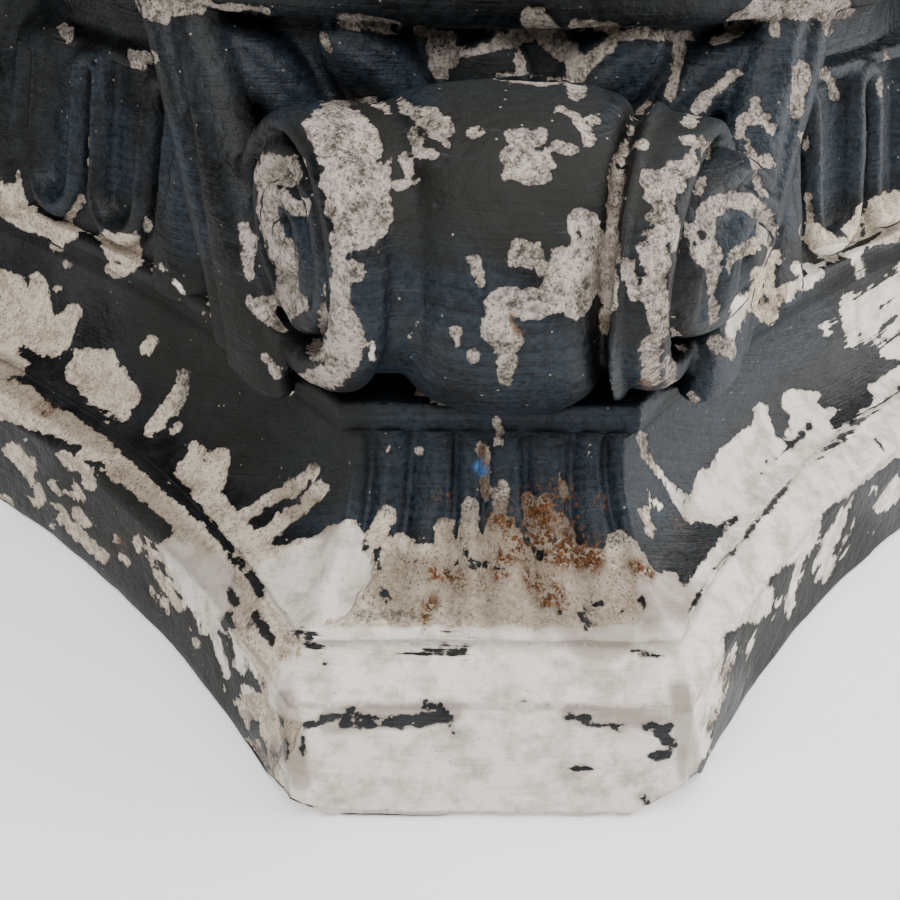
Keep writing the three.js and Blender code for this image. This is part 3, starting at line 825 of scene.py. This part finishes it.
paint_left = (
    (22, 350, 60, 374, 6), (34, 372, 62, 392, 11), (62, 380, 100, 418, 5), (115, 432, 160, 462, 12),
    (163, 466, 213, 530, 6), (215, 530, 262, 594, 5.5), (264, 512, 295, 500, 5),
    (278, 541, 312, 526, 5), (66, 446, 80, 450, 6), (100, 466, 104, 480, 5),
    (118, 490, 165, 530, 8), (230, 590, 235, 602, 5), (256, 618, 272, 640, 6),
    (300, 632, 318, 650, 5), (363, 148, 364, 151, 3.5), (351, 256, 348, 258, 3),
    (580, 233, 581, 234, 1.5), (700, 232, 704, 234, 3), (734, 243, 728, 250, 2),
    (735, 212, 757, 214, 2), (808, 256, 810, 258, 4), (863, 225, 864, 234, 3),
    (376, 552, 378, 566, 4.5), (455, 533, 470, 560, 4), (472, 562, 502, 568, 4),
    (383, 590, 387, 600, 4), (582, 610, 588, 624, 5), (624, 612, 640, 618, 2.5),
    (556, 607, 560, 609, 3), (438, 634, 485, 637, 2.5), (325, 663, 400, 656, 2),
    (400, 655, 466, 649, 3.2), (632, 650, 665, 657, 2.5), (305, 728, 322, 722, 5),
    (322, 720, 352, 710, 5), (345, 722, 400, 723, 6), (400, 722, 448, 717, 8),
    (425, 706, 438, 706, 4.5), (302, 738, 304, 758, 2.5), (570, 717, 588, 721, 5),
    (588, 724, 625, 730, 3.5), (648, 728, 670, 727, 5), (662, 735, 672, 746, 6),
    (652, 758, 668, 754, 5), (452, 737, 460, 736, 1.5), (517, 700, 526, 699, 2),
    (546, 705, 552, 705, 1.5), (571, 770, 598, 770, 1.3), (633, 783, 634, 784, 2),
    (642, 797, 650, 804, 4), (336, 756, 340, 758, 1.8), (815, 375, 865, 362, 17),
    (832, 396, 862, 398, 13), (836, 420, 858, 408, 7), (640, 218, 650, 226, 5),
    (637, 234, 646, 240, 5), (640, 268, 644, 274, 4), (688, 614, 714, 572, 2),
    (714, 572, 748, 534, 2), (748, 534, 792, 480, 2), (820, 457, 903, 386, 2),
    (878, 438, 884, 448, 2.5), (805, 500, 808, 508, 2), (738, 478, 762, 474, 1.5),
    (865, 290, 903, 268, 1.2), (868, 312, 903, 294, 1.2), (858, 352, 903, 330, 2),
    (885, 322, 896, 318, 2), (812, 424, 790, 446, 3), (790, 446, 768, 462, 2),
    (640, 600, 646, 606, 3), (412, 560, 418, 562, 2),
)
# Whiter and creamier plaster, brown dirt, bluer and dustier paint, grime, the blue chip and
# the scraped places. The sixth number is how far a stroke fades past its edge.
whites = (
    (275, 575, 345, 540, 18, 3), (288, 595, 350, 570, 22, 3), (296, 615, 340, 597, 15, 5),
    (348, 530, 352, 560, 10, 3), (170, 553, 222, 570, 14, 3), (182, 575, 222, 590, 15, 3),
    (195, 596, 215, 606, 13, 3), (205, 610, 208, 628, 8, 3), (320, 645, 690, 645, 16, 14),
    (300, 690, 690, 690, 30, 14), (320, 745, 690, 745, 22, 10), (310, 780, 690, 785, 30, 10),
    (330, 810, 640, 815, 16, 8), (715, 500, 905, 400, 60, 16), (700, 600, 905, 430, 60, 20),
    (845, 300, 905, 300, 55, 10), (760, 420, 830, 400, 26, 8), (741, 304, 733, 330, 8, 3),
    (374, 344, 371, 358, 4, 2), (182, 291, 175, 282, 4, 2), (705, 476, 702, 506, 10, 4),
    (845, 510, 780, 620, 40, 20), (898, 485, 870, 540, 20, 10), (680, 620, 700, 560, 20, 10),
    (216, 640, 240, 680, 14, 8),
)
creams = (
    (0, 200, 60, 230, 26, 8), (118, 250, 130, 270, 20, 6), (800, 270, 905, 215, 34, 10),
    (760, 270, 760, 310, 20, 8), (-10, 320, 100, 360, 60, 20), (60, 380, 130, 400, 40, 16),
    (-10, 400, 240, 580, 34, 12), (190, 460, 260, 560, 30, 12), (250, 540, 330, 500, 30, 10),
    (280, 650, 290, 700, 26, 12), (360, 560, 680, 600, 40, 16), (0, 460, 260, 700, 40, 14),
)
rusts = (
    (500, 520, 520, 545, 10, 8), (535, 500, 545, 545, 12, 9), (558, 490, 572, 540, 10, 8),
    (520, 545, 590, 555, 14, 10), (436, 572, 460, 580, 7, 7), (428, 605, 434, 600, 5, 5),
    (510, 540, 500, 575, 7, 6), (530, 575, 545, 600, 6, 7), (600, 500, 602, 505, 4, 5),
    (440, 495, 446, 497, 4, 4), (41, 408, 50, 412, 5, 2), (120, 541, 121, 545, 5, 3),
    (634, 565, 650, 572, 5, 6), (676, 518, 684, 522, 4, 5), (555, 590, 562, 605, 5, 6),
    (424, 618, 426, 622, 4, 4), (482, 447, 486, 500, 3, 2), (606, 318, 604, 332, 2, 3),
    (512, 318, 520, 335, 2, 3), (642, 385, 648, 388, 3, 3),
)
blues = (
    (470, 60, 600, 70, 30, 20), (600, 90, 700, 60, 30, 20), (700, 130, 770, 60, 34, 20),
    (345, 45, 420, 80, 26, 20), (800, 130, 900, 90, 70, 24), (650, 430, 800, 320, 26, 20),
    (350, 420, 640, 420, 14, 8), (330, 470, 640, 470, 50, 30), (290, 215, 300, 280, 14, 10),
    (340, 290, 400, 380, 30, 20), (440, 280, 560, 400, 40, 30), (90, 70, 60, 200, 14, 12),
    (115, 120, 120, 180, 12, 10), (165, 130, 190, 240, 14, 12), (255, 40, 300, 100, 24, 16),
    (715, 330, 735, 250, 16, 10), (740, 220, 780, 220, 16, 10), (600, 370, 700, 420, 22, 16),
)
dusts = (
    (480, 100, 560, 100, 40, 24), (470, 150, 570, 180, 50, 30), (440, 220, 580, 210, 40, 30),
    (640, 130, 690, 140, 24, 16), (620, 170, 640, 200, 16, 12), (370, 110, 400, 200, 20, 16),
    (200, 340, 300, 440, 60, 40), (840, 560, 780, 640, 40, 30), (100, 480, 260, 680, 40, 20),
    (300, 130, 290, 160, 14, 10),
)
grimes = (
    (400, 585, 640, 600, 26, 18), (540, 560, 600, 620, 34, 14), (285, 700, 300, 780, 8, 8),
    (680, 690, 690, 770, 8, 8), (460, 540, 520, 520, 22, 14), (0, 370, 110, 440, 12, 10),
    (120, 480, 240, 600, 14, 12), (290, 500, 320, 520, 14, 10), (640, 560, 680, 600, 16, 12),
    (484, 470, 487, 500, 5, 3), (330, 722, 450, 712, 10, 6), (570, 715, 660, 722, 8, 6),
)
blue_chip = ((478, 464, 483, 474, 3.5, 1.5),)
scrapes = (
    (850, 330, 905, 290, 40, 10), (820, 450, 905, 400, 12, 6), (300, 640, 470, 640, 14, 6),
)


def in_picture(points):
    """Where points fall in the picture, how far they are, and picture points per radian."""
    away = points * mm - np.array(eye)
    depth = -(away @ np.array(back))
    scale = focal_length / film_width * picture_width
    x = picture_width / 2 + scale * (away @ np.array(eye_right)) / np.maximum(depth, 0.01)
    y = picture_width / 2 - scale * (away @ np.array(eye_up)) / np.maximum(depth, 0.01)
    return x, y, depth / mm, scale


def stroke_field(x, y, strokes):
    """Depth inside the nearest stroke, in picture points: positive inside, negative outside."""
    field = np.full(x.shape, -60.0)
    for x0, y0, x1, y1, half in strokes:
        length = max((x1 - x0) ** 2 + (y1 - y0) ** 2, 1e-6)
        share = np.clip(((x - x0) * (x1 - x0) + (y - y0) * (y1 - y0)) / length, 0, 1)
        away = np.hypot(x - x0 - share * (x1 - x0), y - y0 - share * (y1 - y0))
        field = np.maximum(field, half - away)
    return field


def soft_field(x, y, strokes):
    """The same with soft rims: one inside, fading to nothing over the last number of each."""
    field = np.zeros(x.shape)
    for x0, y0, x1, y1, half, fade in strokes:
        inside = stroke_field(x, y, ((x0, y0, x1, y1, half),))
        field = np.maximum(field, np.clip(1 + inside / fade, 0, 1))
    return field


def uneven(points, size, seed=0.0):
    """Smooth chance field with lumps of the given size in millimetres."""
    spots = (points / size + seed).tolist()
    return np.array([noise.noise(spot) for spot in spots])


def seen_from_lens(piece, skins, margin=40, clear_ahead=0.003, clear_out=0.0012):
    """Which points of a piece nothing hides from the lens."""
    points, normals = places(piece), facings(piece)
    x, y = in_picture(points)[:2]
    toward = np.array(eye) / mm - points
    toward /= np.linalg.norm(toward, axis=1)[:, None]
    seen = (toward * normals).sum(1) > -0.1
    for line in (x, y):
        seen &= (line > -margin) & (line < picture_width + margin)
    for index in np.nonzero(seen)[0]:
        ahead, normal = Vector(toward[index]), Vector(normals[index])
        start = Vector(points[index]) * mm + ahead * clear_ahead + normal * clear_out
        seen[index] = all(skin.ray_cast(start, ahead, 1.0)[0] is None for skin in skins)
    return seen


def set_field(piece, name, values):
    """Writes one number for each point of a piece, for the finish to read."""
    layer = piece.data.attributes.new(name, 'FLOAT', 'POINT')
    layer.data.foreach_set('value', np.ascontiguousarray(values, np.float32))


def worn(piece, skins, on_slab):
    """Marks each point of a piece with its losses and stains, and sinks the losses a little."""
    points = places(piece)
    seen = seen_from_lens(piece, skins)
    x, y, depth, scale = in_picture(points)
    reach = np.hypot(points[:, 0], points[:, 1])
    z = points[:, 2]
    around = np.arctan2(points[:, 1], points[:, 0])
    off_corner = np.abs((around / quarter) % 1 - 0.5) * quarter * reach
    ledge = np.clip(1 - np.abs(z - ledge_z) / 6, 0, 1) * (reach > 140)
    low = np.clip((ledge_z - 4 - z) / 8, 0, 1)
    face = np.clip((face_height - z) / 3, 0, 1) if on_slab else np.zeros(len(z))
    corner_face = face * (off_corner < corner_half + 2) * (reach > corner_reach - 20)
    band = np.clip(1 - np.abs(z - (face_height + band_height / 2)) / 6, 0, 1) * on_slab

    side_face = face * (1 - corner_face) > 0.5

    # Losses on the sides that the lens doesn't see, in keeping with those it does.
    chance = (uneven(points, 26, 3.1) * 0.75 + uneven(points, 11, 7.7) * 0.35
              + uneven(points, 5, 1.3) * 0.15)
    flat_top = (z > seat_z - seat_border) * (1 - on_slab)
    wanted = (-0.27 - 1.5 * flat_top + 0.28 * ledge + 0.2 * low + 0.3 * band - 0.32 * face
              + 0.85 * corner_face)
    unseen_bare = (chance + wanted) * 26
    flecks = uneven(points * np.array([1, 1, 0.35]), 4.5, 5.5) - 0.42
    unseen_bare = np.where(side_face, np.maximum(unseen_bare, flecks * 14), unseen_bare)
    unseen_pale = np.clip(0.12 + 0.35 * ledge + 0.45 * low + 0.5 * corner_face
                          + 0.9 * low * (uneven(points, 60, 9.2) + 0.1), 0, 1)

    # Losses that the lens sees, stroke by stroke.
    strokes = losses_on_ring + losses_on_scroll + losses_on_cheek + losses_on_ledge
    if on_slab:
        strokes = (losses_on_ledge + losses_in_hollow + losses_on_band + losses_on_leaf
                   + losses_on_side + losses_on_corner)
    bare = stroke_field(x, y, strokes)
    bare = np.minimum(bare, -stroke_field(x, y, paint_left))
    nicks = (uneven(points * np.array([1, 1, 0.4]), 2.4, 5.5) - 0.5) * 20
    bare = np.where(side_face, np.maximum(bare, nicks), bare) * (depth / scale)
    pale = np.maximum(soft_field(x, y, whites), 0.5 * soft_field(x, y, creams))

    # Inside the picture the strokes count, and past its edge the chance losses take over.
    inside = np.minimum(np.minimum(x, picture_width - x), np.minimum(y, picture_width - y))
    edge = np.where(seen, np.clip(inside / picture_margin + 1, 0, 1), 0)
    past = 1 - edge
    bare = bare * edge + unseen_bare * past
    up = np.clip(facings(piece)[:, 2], 0, 1)
    dust = np.maximum(0.12 * up, soft_field(x, y, dusts)) * edge + (0.2 + 0.6 * up) * past
    unseen_blue = np.clip(0.45 + uneven(points, 45, 4.4), 0, 1) * (1 - face)
    for name, values in (
        ("bare", np.clip(bare, -8, 8)),
        ("pale", pale * edge + unseen_pale * past),
        ("rust", soft_field(x, y, rusts) * edge),
        ("dust", dust),
        ("blue", soft_field(x, y, blues) * edge + unseen_blue * past),
        ("scrape", soft_field(x, y, scrapes) * edge),
        ("grime", soft_field(x, y, grimes) * edge + low * 0.25 * past),
        ("chip", soft_field(x, y, blue_chip) * edge),
    ):
        set_field(piece, name, values)
    grain = np.stack([around * 180, z + (corner_reach - reach) * low, reach * 0.2], -1)
    layer = piece.data.attributes.new("grain", 'FLOAT_VECTOR', 'POINT')
    layer.data.foreach_set('vector', np.ascontiguousarray(grain, np.float32).ravel())

    sunk = np.clip(bare / 0.8 + 0.5, 0, 1)
    lumps = uneven(points, 17) * 0.45 + uneven(points, 6.5, 2) * 0.22
    rough = uneven(points, 6, 8) * 0.5
    return points, lumps * (1 - 0.4 * sunk) + rough * sunk - paint_thickness * sunk


# Breaks in the lower corners of the cut-off faces, where the plaster has been knocked: where
# each begins, left and right of the middle, and how steeply it rises. The first corner is the
# one in the photograph.
corner_breaks = ((35, 0.5, 33, 0.9), (38, 0.7, 41, 0.6), (36, 0.4, 39, 0.8), (40, 0.9, 37, 0.5))
break_depth = 15


def chipped(points):
    """Raises the underside where a corner has broken away, and along its uneven edge."""
    around = np.arctan2(points[:, 1], points[:, 0]) + quarter / 2
    corner = np.rint(around / quarter).astype(int) % 4
    local = around - np.rint(around / quarter) * quarter
    reach = np.hypot(points[:, 0], points[:, 1])
    u, v = reach * np.cos(local), reach * np.sin(local)
    left, left_slope, right, right_slope = np.array(corner_breaks, float)[corner].T
    rise = np.maximum((-v - left) * left_slope, (v - right) * right_slope)
    rise = np.maximum(rise + uneven(points, 5, 12) * 1.2 * (rise > 0), 0)
    rise *= np.clip(1 - (corner_reach - u) / break_depth, 0, 1)
    rise += np.clip(0.15 + 0.7 * uneven(points, 9, 14), 0, 1.6)
    points[:, 2] = np.maximum(points[:, 2], rise)
    return points


def shade_by_occlusion(points, normals, skins, reach=14, feelers=9):
    """Share of the sky that is shut off close by, from 0 in the open to 1 in a deep groove; the
    finish darkens by it as painted shade.
    """
    shut = np.zeros(len(points))
    around = []
    for index in range(feelers):
        share = (index + 0.5) / feelers
        around.append(Vector((math.cos(index * 2.4) * math.sqrt(share),
                              math.sin(index * 2.4) * math.sqrt(share), math.sqrt(1 - share))))
    far = reach * mm
    for index, (place, normal) in enumerate(zip(points * mm, normals)):
        normal = Vector(normal)
        turn = normal.to_track_quat('Z', 'Y')
        start = Vector(place) + normal * 0.0008
        hits = 0.0
        for feeler in around:
            found = min((skin.ray_cast(start, turn @ feeler, far)[3] or far) for skin in skins)
            hits += 1 - found / far
        shut[index] = hits / feelers
    return shut


def dressed(piece, skins, on_slab):
    """Wear, lumps and breaks are put on a piece, and none of it leaves the casting's box."""
    points, drop = worn(piece, skins, on_slab)
    # How shut in each point is, which the finish turns into painted shade in the recesses.
    set_field(piece, "recess_shade", shade_by_occlusion(points, facings(piece), skins))
    points = points + facings(piece) * drop[:, None]
    points = chipped(points) if on_slab else points
    put(piece, np.clip(points, np.array(cad_box[0]) / mm, np.array(cad_box[1]) / mm))


def skin_of(piece):
    shape = bmesh.new()
    shape.from_mesh(piece.data)
    skin = BVHTree.FromBMesh(shape)
    shape.free()
    return skin


both_skins = (skin_of(slab), skin_of(carving))
dressed(slab, both_skins, True)
dressed(carving, both_skins, False)


# The finish itself: charcoal paint with a soft gloss over bare plaster with its pits. The
# edge of each loss is broken up finely, and the paint's thickness shows as a step there.
finish = bpy.data.materials.new("flaking_charcoal_paint")
finish.use_nodes = True
tree = finish.node_tree
shader = tree.nodes["Principled BSDF"]


def joined(kind, settings=None, **sockets):
    """A node with its settings and inputs; an input is a value or another node's output."""
    node = tree.nodes.new(kind)
    for name, value in (settings or {}).items():
        setattr(node, name, value)
    for name, value in sockets.items():
        numbered = name[0] == 'i' and name[1:].isdigit()
        socket = node.inputs[int(name[1:]) if numbered else name.replace('_', ' ')]
        if isinstance(value, bpy.types.NodeSocket):
            tree.links.new(value, socket)
        else:
            socket.default_value = value
    return node


def sums(operation, *parts):
    """The parts worked together one after the other."""
    total = parts[0]
    for part in parts[1:]:
        total = joined('ShaderNodeMath', {'operation': operation}, i0=total, i1=part).outputs[0]
    return total


def plus(*parts):
    return sums('ADD', *parts)


def times(*parts):
    return sums('MULTIPLY', *parts)


def centred(value, spread, middle=0.5):
    """Noise moved to lie about zero, and stretched."""
    return times(sums('SUBTRACT', value, middle), spread)


def left_of_one(value):
    return sums('SUBTRACT', 1.0, value)


def field(name):
    return joined('ShaderNodeAttribute', {'attribute_name': name}).outputs['Fac']


def blended(share, a, b):
    """Two colours mixed by a share."""
    return joined('ShaderNodeMix', {'data_type': 'RGBA'}, i0=share, i6=a, i7=b).outputs[2]


def ramped(value, low, high):
    """From 0 at the low end to 1 at the high end, eased at both."""
    return joined('ShaderNodeMapRange', {'interpolation_type': 'SMOOTHSTEP'},
                  Value=value, From_Min=low, From_Max=high).outputs[0]


def speckle(size, detail=3.0, rough=0.55, coordinates=None):
    """Noise with lumps of the given size in millimetres."""
    return joined('ShaderNodeTexNoise', Vector=coordinates or solid, Scale=1000 / size,
                  Detail=detail, Roughness=rough).outputs['Fac']


def spots(size):
    """How far each place is from the middle of its nearest spot; the size is in millimetres."""
    return joined('ShaderNodeTexVoronoi', Vector=solid, Scale=1000 / size,
                  Randomness=1.0).outputs['Distance']


def tone(red, green, blue):
    """A colour as seen on a screen, turned into the shader's own scale."""
    return tuple((part / 255 / 12.92 if part < 11 else ((part / 255 + 0.055) / 1.055) ** 2.4)
                 for part in (red, green, blue)) + (1,)


grain_scale = (0.00003, 0.001, 0.0003)
solid = joined('ShaderNodeTexCoord').outputs['Object']
grain_run = joined('ShaderNodeAttribute', {'attribute_name': "grain"}).outputs['Vector']
streak_place = joined('ShaderNodeVectorMath', {'operation': 'MULTIPLY'}, i0=grain_run,
                      i1=grain_scale).outputs[0]
streaks = speckle(1.6, 3, 0.6, streak_place)
fine_streaks = speckle(0.7, 2, 0.6, streak_place)
clouds = speckle(22, 4, 0.62)
blots = speckle(7.5, 4, 0.65)
lumps = speckle(4.6, 2)
grains = speckle(1.5, 3, 0.7)
grit = speckle(0.62, 2, 0.7)

ragged = centred(lumps, 3.4, 0.44)
frayed = centred(grains, 1.4)
scraped = times(centred(streaks, 6.0), field("scrape"))
depth_in = plus(field("bare"), ragged, frayed, scraped)
open_plaster = ramped(depth_in, -0.12, 0.12)
# Painted shade: how far each place lies in a recess, for darkening paint and plaster.
recess_shade = ramped(field("recess_shade"), 0.05, 0.6)

# Bare plaster: grey, tan or white, its darker grains partly painted shade between them, pits
# darkened as painted shade, then soil, rust-brown crumbs and painted shade just inside each loss's
# edge.
pit_shade_tone = tone(72, 64, 58)
soil_tone = tone(98, 84, 68)
edge_step_shade_tone = tone(110, 98, 86)
line_tone = tone(112, 100, 86)
plaster_recess_shade_tone = tone(96, 86, 74)
fleck_tone = tone(96, 88, 78)
chip_tone = tone(52, 110, 168)
pale = plus(field("pale"), centred(blots, 0.5))
# The darker end of this grain mix is partly the plaster's own tone and partly painted shade between
# its grains.
grain_and_shade = plus(times(grains, 0.38), times(grit, 0.26), times(blots, 0.36))
grain_and_shade = ramped(grain_and_shade, 0.38, 0.6)
brushed = ramped(plus(blots, times(fine_streaks, 0.18)), 0.36, 0.74)
grey_plaster = blended(grain_and_shade, tone(62, 55, 49), tone(176, 166, 155))
tan_plaster = blended(grain_and_shade, tone(136, 121, 103), tone(208, 195, 178))
white_plaster = blended(brushed, tone(164, 154, 142), tone(221, 214, 204))
plaster = blended(ramped(pale, 0.1, 0.42), grey_plaster, tan_plaster)
plaster = blended(ramped(pale, 0.62, 0.9), plaster, white_plaster)

fewer = left_of_one(ramped(pale, 0.55, 0.85))
pits = times(ramped(spots(0.95), 0.34, 0.1), ramped(lumps, 0.42, 0.6))
pits = times(pits, plus(0.12, times(fewer, 0.88)))
# Painted shade in the pits.
plaster = blended(times(pits, 0.8), plaster, pit_shade_tone)

soil = plus(sums('MAXIMUM', field("rust"), field("grime")), centred(blots, 1.8))
plaster = blended(times(ramped(soil, 0.1, 1.0), 0.55), plaster, soil_tone)
crumbs = ramped(plus(times(grains, 0.6), times(blots, 0.4)), 0.45, 0.54)
rust_tone = blended(ramped(grit, 0.35, 0.65), tone(38, 27, 19), tone(104, 66, 36))
plaster = blended(times(field("rust"), crumbs), plaster, rust_tone)
# Painted shade just inside the edge of each loss, below the step of the paint.
plaster = blended(times(ramped(depth_in, 0.9, 0.1), 0.28), plaster, edge_step_shade_tone)
plaster = blended(field("chip"), plaster, chip_tone)

# Dirt in lines along the slab's edges: where each stands, and its half width.
level = joined('ShaderNodeSeparateXYZ', Vector=solid).outputs['Z']
patchy = ramped(plus(blots, times(grains, 0.4)), 0.58, 0.82)
for edge_z, half_width in ((face_height, 1.5), (band_top + 1, 1.4), (face_height * 0.02, 1.6)):
    off_edge = joined('ShaderNodeMath', {'operation': 'ABSOLUTE'},
                      i0=sums('SUBTRACT', level, edge_z * mm)).outputs[0]
    line = times(ramped(off_edge, half_width * mm, half_width * mm * 0.2), patchy)
    plaster = blended(times(line, 0.6), plaster, line_tone)

mote_place = spots(4.2)
# Painted shade in the recesses of the bare plaster.
plaster = blended(times(recess_shade, 0.45), plaster, plaster_recess_shade_tone)
plaster = blended(times(ramped(mote_place, 0.09, 0.05), 0.5), plaster, fleck_tone)

# Paint: black in patches, blue where it is thin, dulled by dust, darkened in the recesses with
# painted shade, and flecked and scuffed.
dust_tone = tone(31, 30, 27)
paint_recess_shade_tone = tone(6, 6, 7)
mote_tone = tone(150, 148, 142)
scuff_tone = tone(84, 90, 94)
haze = plus(times(clouds, 0.45), times(blots, 0.3), times(grains, 0.25))
paint = blended(ramped(haze, 0.4, 0.64), tone(7, 8, 9), tone(33, 35, 37))
blue_here = times(ramped(plus(field("blue"), centred(clouds, 1.2)), -0.1, 1.3), 0.9)
blue_run = ramped(plus(times(streaks, 0.4), times(grains, 0.6)), 0.32, 0.68)
paint = blended(blue_here, paint, blended(blue_run, tone(11, 15, 19), tone(40, 51, 60)))
dust_here = ramped(plus(field("dust"), centred(clouds, 1.0)), 0.0, 1.35)
paint = blended(times(dust_here, 0.8), paint, dust_tone)
# Painted shade in the recesses of the paint.
paint = blended(times(recess_shade, 0.85), paint, paint_recess_shade_tone)
motes = times(ramped(mote_place, 0.085, 0.055), ramped(clouds, 0.4, 0.54))
paint = blended(times(motes, 0.65), paint, mote_tone)
scuff = times(ramped(fine_streaks, 0.6, 0.75), ramped(blots, 0.48, 0.66))
paint = blended(times(scuff, 0.32), paint, scuff_tone)
paint = blended(field("chip"), paint, chip_tone)
paint = blended(times(field("rust"), ramped(grains, 0.5, 0.6)), paint, rust_tone)

paint_gloss = 0.3
plaster_gloss = 0.92
tree.links.new(blended(open_plaster, paint, plaster), shader.inputs['Base Color'])
worn_gloss = plus(paint_gloss, times(dust_here, 0.25), times(grains, 0.2))
gloss = joined('ShaderNodeMix', {'data_type': 'FLOAT'}, i0=open_plaster, i2=worn_gloss,
               i3=plaster_gloss)
tree.links.new(gloss.outputs[0], shader.inputs['Roughness'])
shader.inputs['Specular IOR Level'].default_value = 0.17

# Relief: the step at each edge, then brush marks and lumps in the paint, pits in the plaster.
edge_step = -0.55
bump_strength = 0.9
step_down = times(ramped(depth_in, -0.25, 0.35), edge_step)
coat = plus(times(lumps, 0.75), times(fine_streaks, 0.22), times(grains, 0.36), times(grit, 0.08))
coat = times(coat, left_of_one(open_plaster))
crumb = plus(times(grit, 0.35), times(pits, -0.4), times(grains, 0.75), times(lumps, 0.5))
crumb = times(crumb, open_plaster, plus(0.3, times(fewer, 0.7)))
relief = joined('ShaderNodeBump', Height=plus(step_down, coat, crumb), Distance=mm,
                Strength=bump_strength)
tree.links.new(relief.outputs[0], shader.inputs['Normal'])

for piece in (slab, carving):
    piece.data.materials.clear()
    piece.data.materials.append(finish)
    picked(piece)
    bpy.ops.object.shade_smooth()
    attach(piece, "root")
    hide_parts("column_base")


# The stage. A plain pale floor under soft studio light, and a camera at the photograph's
# angle, close to one corner of the base, which it looks down on from the upper edge.
floor_size = 12
floor_drop = 0.0005
floor_shade = 0.9
floor_glow = 0.3
sky_strength = 0.15
camera_data = bpy.data.cameras.new("camera")
camera_data.lens = focal_length
camera_data.sensor_width = film_width
camera_data.clip_start = 0.01
camera = bpy.data.objects.new("camera", camera_data)
view_turn = Matrix((eye_right, eye_up, back)).transposed().to_4x4()
camera.matrix_world = Matrix.Translation(eye) @ view_turn
bpy.context.collection.objects.link(camera)
bpy.context.scene.camera = camera

bpy.ops.object.select_all(action='DESELECT')
bpy.ops.mesh.primitive_plane_add(size=floor_size, location=(0, 0, -floor_drop))
floor = bpy.context.object
floor.name = "floor"
floor_finish = bpy.data.materials.new("pale_floor")
floor_finish.use_nodes = True
floor_shader = floor_finish.node_tree.nodes["Principled BSDF"]
floor_shader.inputs["Base Color"].default_value = (floor_shade,) * 3 + (1,)
floor_shader.inputs["Roughness"].default_value = 0.9
floor_shader.inputs["Emission Color"].default_value = (1, 1, 1, 1)
floor_shader.inputs["Emission Strength"].default_value = floor_glow
floor.data.materials.append(floor_finish)

# Each lamp: its name, place, what it points at, width and watts.
lamps = (
    ("front_light", (0.62, -1.0, 1.25), (0.15, -0.15, 0.08), 1.3, 33),
    ("sky_light", (0.3, 0.1, 1.5), (0.12, -0.1, 0.1), 1.2, 15),
    ("right_light", (1.1, 0.95, 0.6), (0.17, -0.08, 0.12), 1.3, 34),
)
for name, place, aim, size, power in lamps:
    lamp_data = bpy.data.lights.new(name, 'AREA')
    lamp_data.size = size
    lamp_data.energy = power
    lamp = bpy.data.objects.new(name, lamp_data)
    lamp.location = place
    lamp.rotation_euler = (Vector(aim) - Vector(place)).to_track_quat('-Z', 'Y').to_euler()
    bpy.context.collection.objects.link(lamp)

world = bpy.data.worlds.new("studio")
world.use_nodes = True
world.node_tree.nodes["Background"].inputs["Color"].default_value = (1, 1, 1, 1)
world.node_tree.nodes["Background"].inputs["Strength"].default_value = sky_strength
bpy.context.scene.world = world
